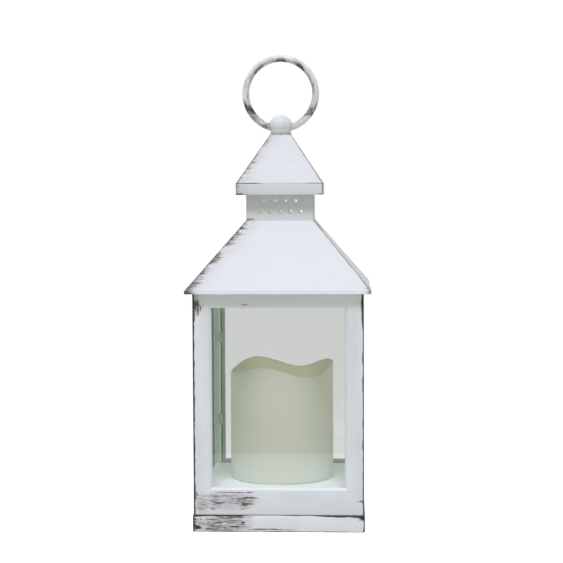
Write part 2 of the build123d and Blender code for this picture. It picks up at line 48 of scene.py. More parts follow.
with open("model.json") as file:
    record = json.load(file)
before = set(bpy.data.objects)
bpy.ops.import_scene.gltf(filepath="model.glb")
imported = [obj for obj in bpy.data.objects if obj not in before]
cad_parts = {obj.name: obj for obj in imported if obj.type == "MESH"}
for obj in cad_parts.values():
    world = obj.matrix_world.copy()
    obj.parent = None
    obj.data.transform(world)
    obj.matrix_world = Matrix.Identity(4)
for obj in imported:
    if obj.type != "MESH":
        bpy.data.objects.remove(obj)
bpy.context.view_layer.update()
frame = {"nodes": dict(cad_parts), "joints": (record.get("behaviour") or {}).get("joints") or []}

MM = 0.001
QUARTER = math.radians(90)
WHITE = (1, 1, 1, 1)
SIDES = ("front", "right", "back", "left")
# Points closer than this merge. The next two are tolerances for picking faces and edges by their place.
MERGE, HAIR, NEAR = 1e-6, 0.01 * MM, 0.1 * MM
# How far a block is sunk into the piece that it stands on.
SUNK = 0.2 * MM
# Part of a normal along an axis, above which a face counts as square to it.
FLAT = 0.9
# Faces that meet at less than this are shaded as one.
SMOOTH_BELOW = math.radians(32)
FRAME_LOW, FRAME_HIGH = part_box("front_frame")
PANE_LOW, PANE_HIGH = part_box("front_pane")
EAVE_LOW, EAVE_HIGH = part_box("eave_plate")
ROOF_LOW, ROOF_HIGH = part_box("roof")
COLLAR_LOW, COLLAR_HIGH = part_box("vent_collar")
CAP_LOW, CAP_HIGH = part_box("top_cap")
RING_LOW, RING_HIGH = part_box("ring_handle")
PLINTH_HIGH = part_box("base_plinth")[1]
CANDLE_LOW, CANDLE_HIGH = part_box("candle_shell")
SOCKET_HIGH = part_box("candle_socket")[1]
JOINTS = {joint["name"]: joint for joint in frame["joints"]}
RING_WIRE = (RING_HIGH.y - RING_LOW.y) / 2
RING_RADIUS = (RING_HIGH.x - RING_LOW.x) / 2 - RING_WIRE
RING_MIDDLE = RING_HIGH.z - RING_RADIUS - RING_WIRE


# Settings

def size(name, description, default):
    """Length that a user may change, kept in metres."""
    return FloatProperty(name=name, description=description, default=default, unit="LENGTH", precision=5)


def colour(name, description, red, green, blue):
    """Colour that a user may change, as linear red, green and blue."""
    return FloatVectorProperty(
        name=name, description=description, default=(red, green, blue), size=3, min=0, max=1,
        subtype="COLOR",
    )


def amount(name, description, default):
    """Plain number that a user may change."""
    return FloatProperty(name=name, description=description, default=default)


def angle(name, description, degrees):
    """Angle that a user may change."""
    default = math.radians(degrees)
    return FloatProperty(name=name, description=description, default=default, subtype="ANGLE")


class LanternSizes(bpy.types.PropertyGroup):
    """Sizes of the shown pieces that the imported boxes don't give by themselves."""

    soft_edge: size("Soft edge", "Width of the rounding on moulded edges", 0.3 * MM)
    corner_radius: size("Corner radius", "Rounding of the body's upright corners", 0.7 * MM)
    hip_radius: size("Hip radius", "Rounding along the hips of roof and cap", 0.5 * MM)
    panel_thickness: size("Panel", "Thickness of a side frame", PANE_LOW.y - FRAME_LOW.y)
    window_bevel: size("Window bevel", "Slanted edge around a window", 1.4 * MM)
    pane_reach: size("Pane reach", "How far a pane lies behind its frame", 2.45 * MM)
    pane_gap: size("Pane gap", "Play between a pane and its ribs", 0.15 * MM)
    pane_lift: size("Pane lift", "Air between a pane and the frame that it lies on", 0.06 * MM)
    rib_width: size("Rib width", "Width of the glazing rib", 1.6 * MM)
    rib_height: size("Rib height", "Height of the glazing rib", 2.0 * MM)
    lug_length: size("Lug length", "Length of the lugs that hold a pane", 6.0 * MM)
    lug_overhang: size("Lug overhang", "How far a lug reaches over its pane", 0.9 * MM)
    lug_thickness: size("Lug thickness", "Thickness of a lug", 1.0 * MM)
    tab_reach: size("Tab reach", "Length of the corner tabs under the eaves", 9.75 * MM)
    tab_thickness: size("Tab thickness", "Thickness of the corner tabs", 3.0 * MM)
    block_reach: size("Block reach", "Width of the corner blocks under the floor plate", 6.45 * MM)
    block_height: size("Block height", "Height of the corner blocks", 11.4 * MM)
    roof_lip: size("Roof lip", "Upright edge at the foot of the roof", 0.4 * MM)
    roof_wall: size("Roof wall", "Thickness of roof and cap", 2.0 * MM)
    collar_half: size("Collar half width", "Half the width of the vent collar", 19.7 * MM)
    collar_wall: size("Collar wall", "Thickness of the collar", 1.6 * MM)
    vent_half: size("Vent half width", "Half the width of the way through the roof", 11.0 * MM)
    vent_radius: size("Vent radius", "Radius of a vent hole", 1.15 * MM)
    vent_pitch: size("Vent pitch", "Spacing of the vent holes", 6.0 * MM)
    lower_vents: size("Lower vents", "Height of the lower row above the roof", 5.0 * MM)
    upper_vents: size("Upper vents", "Height of the upper row above the roof", 11.3 * MM)
    cap_rim: size("Cap rim", "Height of the cap's upright rim", 6.7 * MM)
    cap_top_half: size("Cap top", "Half the width of the cap's flat top", 6.3 * MM)
    cap_crown: size("Cap crown", "Solid thickness under the knob", 6.0 * MM)
    neck_height: size("Neck height", "Height of the knob's neck above the cap", 2.6 * MM)
    neck_fuller: amount("Neck fuller", "How much wider the neck is than its packed shape", 1.1)
    ball_fuller: amount("Ball fuller", "How much wider the ball is than its packed shape", 1.05)
    ring_bend: size("Ring bend", "Radius of the bends where the ring enters the knob", 10.0 * MM)
    ring_stub: size("Ring stub", "Straight end of the ring inside the knob", 3.0 * MM)
    ring_gap: size("Ring gap", "Gap between the ring's two ends", 1.2 * MM)
    candle_wall: size("Candle wall", "Thickness of the candle's shell", 2.4 * MM)
    dish_height: size("Dish height", "Dish above the candle's foot", 46.0 * MM)
    dish_thickness: size("Dish thickness", "Thickness of the dish", 2.2 * MM)
    dish_hole: size("Dish hole", "Radius of the hole around the light's post", 4.3 * MM)


class LanternColours(bpy.types.PropertyGroup):
    """Colours of the finishes."""

    paint: colour("Paint", "White paint of the frames", 0.75, 0.783, 0.808)
    # Painted shadow: the frames' paint is darker near the top, where the eaves cast their shadow.
    eave_shadow_paint: colour("Head paint", "Thinner paint of the frames under the eaves", 0.70, 0.727, 0.735)
    roof_paint: colour("Roof paint", "White paint of the roof", 0.71, 0.735, 0.76)
    cap_paint: colour("Cap paint", "White paint of the cap", 0.685, 0.71, 0.73)
    rim_paint: colour("Rim paint", "Thicker paint on the cap's upright rim", 0.745, 0.772, 0.792)
    # Painted highlight: far lighter than the other paint, as if light from above caught the eaves' edge.
    eave_highlight_paint: colour("Eave paint", "Thick paint along the edge of the eaves", 0.96, 0.985, 1.0)
    paint_shade: colour("Paint shade", "Thin places in the white paint", 0.64, 0.667, 0.683)
    smear: colour("Smear", "Paint rubbed thin around the dark strokes", 0.415, 0.37, 0.35)
    undercoat: colour("Undercoat", "Dark coat under the paint", 0.016, 0.014, 0.014)
    undercoat_pale: colour("Pale undercoat", "Dry edge of a dark stroke", 0.10, 0.079, 0.072)
    # Lighter and greener than the outer paint: painted light coming in through the green panes.
    inside: colour("Inside", "Frames on their inner side", 0.90, 0.99, 0.92)
    # Darker than the inner side: painted shade, so that the lugs don't catch the light.
    lug: colour("Lug", "Lugs that hold the panes", 0.60, 0.68, 0.62)
    # Darker than the frames' paint: painted shade under the cap.
    collar_paint: colour("Collar paint", "White paint of the vent collar", 0.63, 0.655, 0.65)
    # Painted light: the collar turns paler towards its foot, below the cap's shadow.
    collar_foot_light: colour("Collar foot", "Thicker paint along the collar's foot", 0.745, 0.775, 0.79)
    knob_paint: colour("Knob paint", "Paint of the knob", 0.80, 0.83, 0.85)
    # Painted shade: the knob's neck is darker, as it lies under the ball.
    neck_shade_paint: colour("Neck paint", "Thinner paint on the knob's neck", 0.68, 0.705, 0.715)
    ring_paint: colour("Ring paint", "Paint of the ring", 0.96, 0.97, 0.98)
    plinth_paint: colour("Plinth paint", "Paint of the plinth", 0.75, 0.782, 0.775)
    bare_inside: colour("Bare inside", "Unpainted plastic inside roof, collar and cap", 0.90, 0.93, 0.88)
    glass: colour("Glass", "What one surface of the glass lets through", 0.893, 0.898, 0.892)
    glass_edge: colour("Glass edge", "Cut edge of the glass", 0.16, 0.30, 0.24)
    wax: colour("Wax", "Shell of the candle", 0.925, 0.935, 0.775)
    # Painted light on the candle's foot, bounced off the floor; the socket's own pale plastic shares this
    # colour.
    wax_foot_bounce_and_socket: colour("Candle foot", "Shell near the floor plate", 0.86, 0.91, 0.78)
    # Painted light: the middle of the candle's hollow is lit yellowish.
    wax_inside_lit_middle: colour("Candle inside", "Hollow of the candle", 0.98, 0.985, 0.80)
    # Painted shade: the sides of the candle's hollow are darker and greyer.
    wax_inside_shaded_sides: colour("Candle inside, sides", "Hollow of the candle at its sides", 0.72, 0.75, 0.62)
    white_plastic: colour("White plastic", "Floor, socket and door", 0.875, 0.945, 0.965)
    zinc: colour("Zinc", "Plated screws", 0.62, 0.62, 0.60)
    nickel: colour("Nickel", "Contacts and springs", 0.66, 0.63, 0.58)
    jacket: colour("Cell jacket", "Sleeve of the cells", 0.05, 0.12, 0.20)
    jacket_band: colour("Cell band", "Band at the button end of a cell", 0.62, 0.30, 0.10)
    board: colour("Board", "Circuit board", 0.02, 0.16, 0.07)
    lens: colour("Lens", "Lens of the light", 0.95, 0.62, 0.22)
    switch: colour("Switch", "Switch body", 0.02, 0.02, 0.022)
    wire_red: colour("Red wire", "Insulation of the supply wire", 0.45, 0.02, 0.015)
    wire_black: colour("Black wire", "Insulation of the return wire", 0.015, 0.015, 0.017)
    floor: colour("Ground", "Pale ground under the lantern", 0.76, 0.76, 0.76)


class StageSettings(bpy.types.PropertyGroup):
    """Camera and light."""

    distance: size("Distance", "Camera from the lantern's axis", 909.1 * MM)
    height: size("Height", "Camera above the ground", 195.9 * MM)
    azimuth: angle("Azimuth", "Camera to the right of the front", 2.541)
    pitch: angle("Pitch", "Camera down from level", 3.465)
    roll: angle("Roll", "Camera about its own axis", -0.239)
    focus_pixels: amount("Focal length", "Focal length in pixels of the picture", 1519.7)
    picture_pixels: amount("Picture width", "Width of the picture in pixels", 563.0)
    ground_half: size("Ground", "Half the width of the ground", 0.9)
    ground_cloud: size("Ground clouds", "Size of the ground's faint clouds", 0.6)
    ground_lift: amount("Ground lift", "Brightness added to the ground in the picture", 0.33)
    shadow_lift: amount("Shadow lift", "Brightness added close to the lantern, where its shadow lies", 0.2)
    shadow_reach: size("Shadow reach", "How far from the axis that shadow reaches", 0.11)
    ground_fade: size("Ground fade", "Where the ground begins to fade into the backdrop", 0.2)
    table_half: size("Table", "Half the width of the pale table that the panes mirror", 0.3)
    table_mirrored: amount("Mirrored table", "Brightness of the table as the panes mirror it", 1.06)
    table_soft: size("Table's edge", "How soft that table's edge looks in the panes", 8 * MM)
    room_mirrored: amount("Mirrored room", "Brightness of the room as the panes mirror it", 0.1)
    sky: amount("Sky", "Even light from all around", 0.54)
    sky_colour: colour("Sky colour", "Colour of the even light", 0.973, 1.0, 0.89)
    backdrop: amount("Backdrop", "Brightness of the backdrop in the picture", 1.02)
    key_strength: amount("Key light", "Strength of the light from above the front", 2.07)
    key_colour: colour("Key colour", "Colour of the light from above the front", 0.873, 0.851, 1.0)
    key_spread: angle("Key spread", "How wide that light looks from the lantern", 18.0)
    key_elevation: angle("Key elevation", "That light above the horizon", 65.0)
    key_azimuth: angle("Key azimuth", "That light to the right of the front", 2.0)


def settings():
    """The scene's three groups of settings."""
    scene = bpy.context.scene
    return scene.lantern_sizes, scene.lantern_colours, scene.lantern_stage


# Shapes

def hoop(bm, width, low, high, depth):
    """Edges of an upright rectangle in the front wall at one depth."""
    place = Matrix.Translation((0, depth, (low + high) / 2))
    place = place @ Matrix.Rotation(QUARTER, 4, "X") @ Matrix.Diagonal((width, high - low, 1, 1))
    made = bmesh.ops.create_grid(bm, x_segments=1, y_segments=1, size=0.5, matrix=place)
    face = made["verts"][0].link_faces[0]
    edges = list(face.edges)
    bmesh.ops.delete(bm, geom=[face], context="FACES_ONLY")
    return edges


def bridge_round(bm, hoops):
    """Walls from each hoop to the next, and from the last one back to the first."""
    for first, second in zip(hoops, hoops[1:] + hoops[:1]):
        bmesh.ops.bridge_loops(bm, edges=hoop(bm, *first) + hoop(bm, *second))
    close(bm)


def square_turn(bm, profile, closed=True):
    """Square shell around the axis, from a profile of half widths and heights. Returns its faces."""
    before = set(bm.faces)
    points = [bm.verts.new((half, half, height)) for half, height in profile]
    ends = points[1:] + points[:1] if closed else points[1:]
    edges = [bm.edges.new(pair) for pair in zip(points, ends)]
    turn(bm, points + edges, steps=4)
    return [face for face in bm.faces if face not in before]


def turn(bm, geometry, steps):
    """Turns geometry once around the upright axis."""
    bmesh.ops.spin(
        bm, geom=geometry, cent=(0, 0, 0), axis=(0, 0, 1), angle=2 * math.pi, steps=steps,
        use_merge=True,
    )


def block(bm, low, high):
    """Block between two corners. Returns its edges."""
    low, high = Vector(low), Vector(high)
    place = Matrix.Translation((low + high) / 2) @ Matrix.Diagonal((*(high - low), 1))
    made = bmesh.ops.create_cube(bm, size=1, matrix=place)
    return list({edge for vert in made["verts"] for edge in vert.link_edges})


def close(bm):
    """Merges doubles and points the faces outwards."""
    bmesh.ops.remove_doubles(bm, verts=bm.verts, dist=MERGE)
    loose = [edge for edge in bm.edges if not edge.link_faces]
    bmesh.ops.delete(bm, geom=loose, context="EDGES")
    bmesh.ops.recalc_face_normals(bm, faces=bm.faces)
    bm.normal_update()


def round_edges(bm, edges, width, segments=2):
    """Rounds the given edges."""
    bmesh.ops.bevel(
        bm, geom=edges, offset=width, offset_type="OFFSET", affect="EDGES", segments=segments,
        profile=0.5, material=-1, clamp_overlap=True, loop_slide=True,
    )


def sharp_edges(bm, fits=None, least=math.radians(30)):
    """Edges where two faces meet at more than the given angle, and whose ends both fit a test."""
    edges = [edge for edge in bm.edges if edge.is_manifold and edge.calc_face_angle() > least]
    return [edge for edge in edges if not fits or all(fits(vert.co) for vert in edge.verts)]


def circle(bm, radius, place):
    """Edges of a circle at a place."""
    made = bmesh.ops.create_circle(bm, segments=24, radius=radius, matrix=place)
    return list({edge for vert in made["verts"] for edge in vert.link_edges})


def only(geometry, kind):
    """Parts of one kind among some geometry."""
    return [part for part in geometry if isinstance(part, kind)]


def wall_reach(point):
    """How far a point is from the axis, square to the nearest wall."""
    return max(abs(point.x), abs(point.y))


def quarter_turn(bm, verts, quarters):
    """Turns points around the upright axis."""
    matrix = Matrix.Rotation(QUARTER * quarters, 3, "Z")
    bmesh.ops.rotate(bm, verts=verts, cent=(0, 0, 0), matrix=matrix)


def packed_shape(node):
    """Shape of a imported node, with its doubles merged."""
    bm = bmesh.new()
    bm.from_mesh(frame["nodes"][node].data)
    bmesh.ops.remove_doubles(bm, verts=bm.verts, dist=MERGE)
    return bm


def add_piece(name, bm, materials, body, nodes):
    """Makes an object of a finished shape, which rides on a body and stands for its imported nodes."""
    mesh = bpy.data.meshes.new(name)
    bm.to_mesh(mesh)
    bm.free()
    for material in materials:
        mesh.materials.append(material)
    mesh.shade_smooth()
    mesh.set_sharp_from_angle(angle=SMOOTH_BELOW)
    made = bpy.data.objects.new(name, mesh)
    bpy.context.scene.collection.objects.link(made)
    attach(made, body)
    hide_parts(*nodes)


def add_painted(node, bm, materials, body="lantern"):
    """Adds a finished shape in the worn white paint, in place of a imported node."""
    add_piece(node + "_painted", bm, materials, body, [node])


def mark_inside(bm, ceiling):
    """Gives the second material to faces that look towards the axis, or down from a ceiling."""
    for face in bm.faces:
        middle = face.calc_center_median()
        inward = face.normal.xy.dot(middle.xy) < -0.05 * middle.xy.length
        face.material_index = int(inward or (face.normal.z < -0.5 and middle.z > ceiling))


def dress(node, material):
    """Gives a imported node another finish."""
    for place in frame["nodes"][node].material_slots:
        place.material = material


# Finishes

class Value:
    """Output of a node. Plain arithmetic with it adds further nodes."""

    def __init__(self, nodes, socket):
        self.nodes = nodes
        self.socket = socket

    def __add__(self, other):
        return self.nodes.math("ADD", self, other)

    def __sub__(self, other):
        return self.nodes.math("SUBTRACT", self, other)

    def __rsub__(self, other):
        return self.nodes.math("SUBTRACT", other, self)

    def __mul__(self, other):
        return self.nodes.math("MULTIPLY", self, other)

    def __truediv__(self, other):
        return self.nodes.math("DIVIDE", self, other)

    def __abs__(self):
        return self.nodes.math("ABSOLUTE", self)

    __radd__ = __add__
    __rmul__ = __mul__

    def sign(self):
        """Minus one, nought or one."""
        return self.nodes.math("SIGN", self)

    def above(self, limit):
        """One where this value is more than the limit, and nought elsewhere."""
        return self.nodes.math("GREATER_THAN", self, limit)

    def ramp(self, start, end, low=0.0, high=1.0):
        """Smooth way from low to high, while this value goes from start to end."""
        inputs = {"Value": self, "From Min": start, "From Max": end, "To Min": low, "To Max": high}
        return self.nodes.node("ShaderNodeMapRange", "Result", inputs, interpolation_type="SMOOTHSTEP")


def most(first, *others):
    """Largest of several values, of which the first isn't a plain number."""
    for other in others:
        first = first.nodes.math("MAXIMUM", first, other)
    return first


def darker(base, share):
    """Colour of which only a share is left."""
    return [share * part for part in base]


class Nodes:
    """Node tree, with a short call for each kind of node that the finishes share."""

    def __init__(self, tree):
        self.tree = tree

    def add(self, kind, inputs, choices):
        """New node whose inputs are values, numbers or colours."""
        made = self.tree.nodes.new(kind)
        for name, choice in choices.items():
            setattr(made, name, choice)
        for socket, value in inputs.items():
            self.feed(made.inputs[socket], value)
        return made

    def node(self, kind, output, inputs=None, **choices):
        """One output of a new node."""
        return Value(self, self.add(kind, inputs or {}, choices).outputs[output])

    def feed(self, socket, value):
        """Links a value to a socket, or sets the socket to a number or colour."""
        if isinstance(value, Value):
            self.tree.links.new(value.socket, socket)
        else:
            socket.default_value = value

    def show(self, shader):
        """Makes a shader the one that shows."""
        self.feed(self.tree.get_output_node("ALL").inputs["Surface"], shader)

    def math(self, operation, *values):
        """One step of arithmetic."""
        return self.node("ShaderNodeMath", 0, dict(enumerate(values)), operation=operation)

    def choose(self, switch, first, second):
        """First value where the switch is 0, second where it is 1."""
        return self.node("ShaderNodeMix", 0, {0: switch, 2: first, 3: second}, data_type="FLOAT")

    def blend(self, factor, *colours):
        """Two colours blended by a factor."""
        first, second = (c if isinstance(c, Value) else (*c, 1) for c in colours)
        return self.node("ShaderNodeMix", 2, {0: factor, 6: first, 7: second}, data_type="RGBA")

    def mix(self, share, first, second):
        """Two shaders mixed by the share of the second."""
        return self.node("ShaderNodeMixShader", 0, {0: share, 1: first, 2: second})

    def vector(self, x, y, z):
        """Vector with the given parts."""
        return self.node("ShaderNodeCombineXYZ", 0, {"X": x, "Y": y, "Z": z})

    def split(self, vector):
        """Parts of a vector along X, Y and Z."""
        made = self.add("ShaderNodeSeparateXYZ", {0: vector}, {})
        return [Value(self, socket) for socket in made.outputs]

    def noise(self, vector, grain, detail, rough=0.55):
        """Noise whose grains have the given length or lengths in metres."""
        lengths = grain if isinstance(grain, tuple) else (grain, grain, grain)
        scale = [1 / length for length in lengths]
        stretched = self.node("ShaderNodeMapping", 0, {"Vector": vector, "Scale": scale})
        inputs = {"Vector": stretched, "Scale": 1.0, "Detail": detail, "Roughness": rough}
        return self.node("ShaderNodeTexNoise", "Fac", inputs)


class Recipe(Nodes):
    """Node tree of one finish."""

    def __init__(self, name):
        self.material = bpy.data.materials.new(name)
        self.material.use_nodes = True
        super().__init__(self.material.node_tree)
        self.shader = self.tree.nodes["Principled BSDF"]
        self.place = self.node("ShaderNodeTexCoord", "Object")

    def set(self, **inputs):
        """Sets inputs of the finish's shader, named in lower case."""
        for name, value in inputs.items():
            title = name.replace("_", " ").title().replace("Ior", "IOR")
            self.feed(self.shader.inputs[title], value)

    def bump(self, height, distance, strength):
        """Fine relief."""
        inputs = {"Height": height, "Distance": distance, "Strength": strength}
        self.feed(self.shader.inputs["Normal"], self.node("ShaderNodeBump", 0, inputs))


class Wall:
    """Places on the four walls: how far across each wall, how high, and how far out from the axis.

    For strokes, the side walls are mirrored and two of the four are shifted, so that they don't wear alike.
    """

    SHIFT = 6.5 * MM
    SIDE_SEED, REAR_SEED = 3.1, 5.7

    def __init__(self, recipe):
        self.recipe = recipe
        x, y, self.up = recipe.split(recipe.place)
        far_x, far_y = abs(x), abs(y)
        sideways = far_x.above(far_y)
        self.out = most(far_x, far_y)
        self.across = recipe.choose(sideways, y.sign() * (-1.0 * x), x.sign() * y)
        rear = recipe.choose(sideways, y.sign(), -1.0 * x.sign())
        self.stroke = self.across * (1.0 - 2.0 * sideways) + (self.SHIFT * rear + self.SHIFT)
        self.seed = self.SIDE_SEED * sideways + self.REAR_SEED * rear
        self.pattern = recipe.vector(self.stroke, self.up, self.seed)

    def edge(self, distance, thin, wide, grain):
        """Dark line along an edge, whose width wanders between two sizes."""
        width = self.recipe.noise(self.pattern, (*grain, 1), 3.0).ramp(0.35, 0.68, thin, wide)
        return (distance / width).ramp(0.55, 1.0, 1.0, 0.0)

    def strokes(self, marks, pattern):
        """Strongest of several long marks, whose outlines wander and whose middles are patchy."""
        drift, lift = 9 * MM, 1 * MM
        drifting = self.recipe.noise(pattern, (6 * MM, 0.6 * MM, 1), 3.0)
        lifting = self.recipe.noise(pattern, (7 * MM, 2.5 * MM, 1), 2.0)
        across = drift * drifting + (self.stroke - drift / 2)
        up = lift * lifting + (self.up - lift / 2)
        wear = 0.0
        for middle, height, half_length, half_height, strength in marks:
            x = (across - middle * MM) / (half_length * MM)
            z = (up - height * MM) / (half_height * MM)
            wear = most((x * x + z * z).ramp(0.1, 1.1, strength, 0.0), wear)
        patches = self.recipe.noise(pattern, (4 * MM, 0.9 * MM, 1), 2.0)
        return wear * patches.ramp(0.32, 0.58, 0.7, 1.0)


# Most values of a noise lie between these two.
SPAN = (0.3, 0.7)
# How thin the brushed paint gets, and the smoother coats of roof, cap and collar.
BRUSHED_COAT, SMOOTH_COAT = 0.8, 0.35
# Worn strokes on the walls: middle across, middle height, half length, half height (all mm) and strength.
FRAME_STROKES = (
    (-29.0, 18.0, 20.0, 6.5, 0.44),
    (-19.0, 17.6, 7.5, 5.0, 0.58),
    (-36.0, 18.0, 6.0, 5.5, 0.54),
    (-27.5, 22.7, 13.0, 0.5, 0.55),
    (-16.7, 22.8, 2.4, 0.7, 0.75),
    (-36.5, 20.6, 5.5, 0.6, 0.60),
    (-35.8, 20.4, 2.4, 1.2, 0.80),
    (-17.2, 19.8, 6.3, 0.7, 0.72),
    (-27.0, 19.3, 6.0, 0.5, 0.50),
    (-33.0, 16.9, 8.0, 0.7, 0.68),
    (-25.5, 16.7, 4.0, 0.6, 0.60),
    (-19.4, 16.2, 4.0, 1.2, 0.92),
    (-18.9, 15.5, 2.3, 1.3, 0.92),
    (-37.0, 13.6, 2.8, 1.1, 0.65),
    (-21.0, 13.2, 1.9, 0.6, 0.70),
    (-44.0, 16.5, 5.0, 7.0, 0.46),
    (-47.4, 20.5, 0.5, 3.4, 0.90),
    (-46.3, 129.5, 2.8, 6.5, 0.80),
    (-45.2, 131.0, 0.6, 3.0, 0.80),
    (-46.4, 126.0, 0.5, 3.5, 0.80),
    (47.2, 17.8, 1.3, 1.2, 0.85),
    (-19.1, 130.6, 1.0, 0.6, 0.80),
)
PLINTH_STROKES = (
    (-32.0, 4.8, 20.0, 6.0, 0.58),
    (-48.8, 5.0, 1.2, 7.0, 1.30),
    (-35.0, 5.0, 6.0, 2.8, 0.68),
    (-31.0, 9.5, 18.5, 0.8, 1.05),
    (32.0, 9.7, 19.0, 0.5, 1.00),
    (48.4, 8.5, 2.4, 2.3, 1.50),
    (-25.0, 8.4, 6.6, 0.55, 0.95),
    (-16.5, 8.5, 3.5, 0.9, 0.48),
    (-45.8, 7.2, 0.9, 1.9, 0.85),
    (-47.8, 6.6, 0.8, 2.6, 0.75),
    (-28.0, 5.6, 9.6, 0.6, 0.85),
    (-20.3, 5.6, 1.9, 0.9, 1.00),
    (-35.0, 5.2, 3.4, 1.1, 0.80),
    (-46.9, 2.6, 2.2, 1.8, 1.05),
    (-25.5, 3.2, 5.2, 0.6, 1.00),
    (-38.5, 1.8, 6.2, 0.8, 0.88),
    (-6.0, 1.6, 19.0, 0.4, 0.85),
    # A long dark band along the bottom edge: wear, and partly painted contact shadow.
    (0.0, 0.3, 70.0, 0.4, 0.70),
)
COLLAR_STROKES = ((-17.6, COLLAR_LOW.z / MM + 0.4, 3.4, 0.9, 0.56),)
# Worn parts of the ring: hour on a clock face (left is below zero), spread in degrees, strength, inner side
# only or not.
RING_STROKES = (
    (-4.2, 42.0, 0.54, False),
    (-3.9, 24.0, 0.90, False),
    (-5.2, 22.0, 0.60, False),
    (-2.7, 28.0, 0.34, False),
    (-1.4, 30.0, 0.74, True),
    (0.0, 17.0, 0.84, True),
    (1.1, 26.0, 0.84, True),
    (2.4, 34.0, 0.50, True),
    (4.0, 24.0, 0.62, False),
    (4.2, 11.0, 0.74, False),
)
# What one surface of the glass lets through of a lamp's light.
LAMP_TINT = (0.97, 0.98, 0.97, 1)
# Length and width of the brush's marks.
LONG_MARKS = (13 * MM, 0.45 * MM)
SHORT_MARKS = (2.4 * MM, 0.3 * MM)


def finish_paint(
    recipe, colours, coat, wear, line, pattern, long=LONG_MARKS, short=SHORT_MARKS, thinnest=BRUSHED_COAT
):
    """White paint, dragged off in streaks where it is worn, and rubbed through along lines."""
    detail, rough = 4.0, 0.62
    sweep = recipe.noise(pattern, (*long, 1), detail, rough).ramp(*SPAN)
    fleck = recipe.noise(pattern, (*short, 1), detail, rough).ramp(*SPAN)
    cloud = recipe.noise(pattern, (26 * MM, 14 * MM, 1), 2.0)
    bristle = 0.5 * sweep + 0.5 * fleck
    rubbed = most((bristle + wear).ramp(0.8, 1.4), line)
    thin = sweep * cloud.ramp(0.35, 0.7, 0.15 * thinnest, thinnest)
    smeared = recipe.math("MINIMUM", wear * (1.1 * bristle + 0.55), 1.0)
    dry = fleck * most(wear, line).ramp(1.0, 0.55)
    coat = recipe.blend(thin, coat, colours.paint_shade)
    coat = recipe.blend(smeared, coat, colours.smear)
    dark = recipe.blend(dry, colours.undercoat, colours.undercoat_pale)
    recipe.set(
        base_color=recipe.blend(0.95 * rubbed, coat, dark),
        roughness=0.2 * rubbed + bristle.ramp(0.2, 0.8, 0.42, 0.52),
        specular_ior_level=0.3,
    )
    recipe.bump(0.4 * bristle - 0.6 * rubbed, 0.08 * MM, 0.5)
    return recipe.material


def frame_paint(colours):
    """Paint of the side frames, worn along the upright corners and on the lower rail, with painted shade
    under the eaves.
    """
    recipe = Recipe("rubbed_white_frames")
    wall = Wall(recipe)
    most_worn = 129 * MM
    from_worn = abs(wall.up - most_worn)
    from_left = (FRAME_HIGH.x + wall.across) * from_worn.ramp(2 * MM, 16 * MM, 0.8, 1.0)
    from_right = (FRAME_HIGH.x - wall.across) * from_worn.ramp(1 * MM, 13 * MM, 0.42, 1.0)
    left = wall.edge(from_left, 1.15 * MM, 1.7 * MM, (9 * MM, 5 * MM))
    right = wall.edge(from_right, 0.8 * MM, 1.25 * MM, (9 * MM, 7 * MM))
    beside = abs(wall.across).above(PANE_HIGH.x - 3 * MM)
    on_stile = beside * wall.up.above(PANE_LOW.z + 2 * MM)
    along = recipe.choose(on_stile, wall.stroke, wall.up)
    aside = recipe.choose(on_stile, wall.up, wall.stroke)
    brushed = recipe.vector(along, aside, wall.seed)
    wear = wall.strokes(FRAME_STROKES, brushed)
    # Painted shadow: the coat turns darker towards the top rail, under the eaves.
    head = wall.up.ramp(PANE_HIGH.z - 4 * MM, PANE_HIGH.z + 2 * MM)
    coat = recipe.blend(head, colours.paint, colours.eave_shadow_paint)
    return finish_paint(recipe, colours, coat, wear, most(left, right), brushed)


def plinth_paint(colours):
    """Paint of the plinth, worn at its corners and along both edges; the dark line at its foot is partly wear
    and partly painted contact shadow.
    """
    recipe = Recipe("rubbed_white_plinth")
    wall = Wall(recipe)
    from_corner = PLINTH_HIGH.x - abs(wall.across)
    from_middle = abs(wall.stroke - 3 * MM)
    from_seam = abs(FRAME_LOW.z - wall.up) * from_middle.ramp(12 * MM, 34 * MM, 1.0, 0.42)
    corner = wall.edge(from_corner, 0.8 * MM, 1.7 * MM, (9 * MM, 3 * MM))
    top = wall.edge(from_seam, 0.25 * MM, 0.8 * MM, (22 * MM, 9 * MM))
    # Dark line at the foot: partly wear, partly painted contact shadow where the plinth meets the ground.
    foot = wall.edge(wall.up, 0.1 * MM, 0.8 * MM, (18 * MM, 9 * MM))
    wear = wall.strokes(PLINTH_STROKES, wall.pattern)
    line = most(corner, top, foot)
    return finish_paint(recipe, colours, colours.plinth_paint, wear, line, wall.pattern)


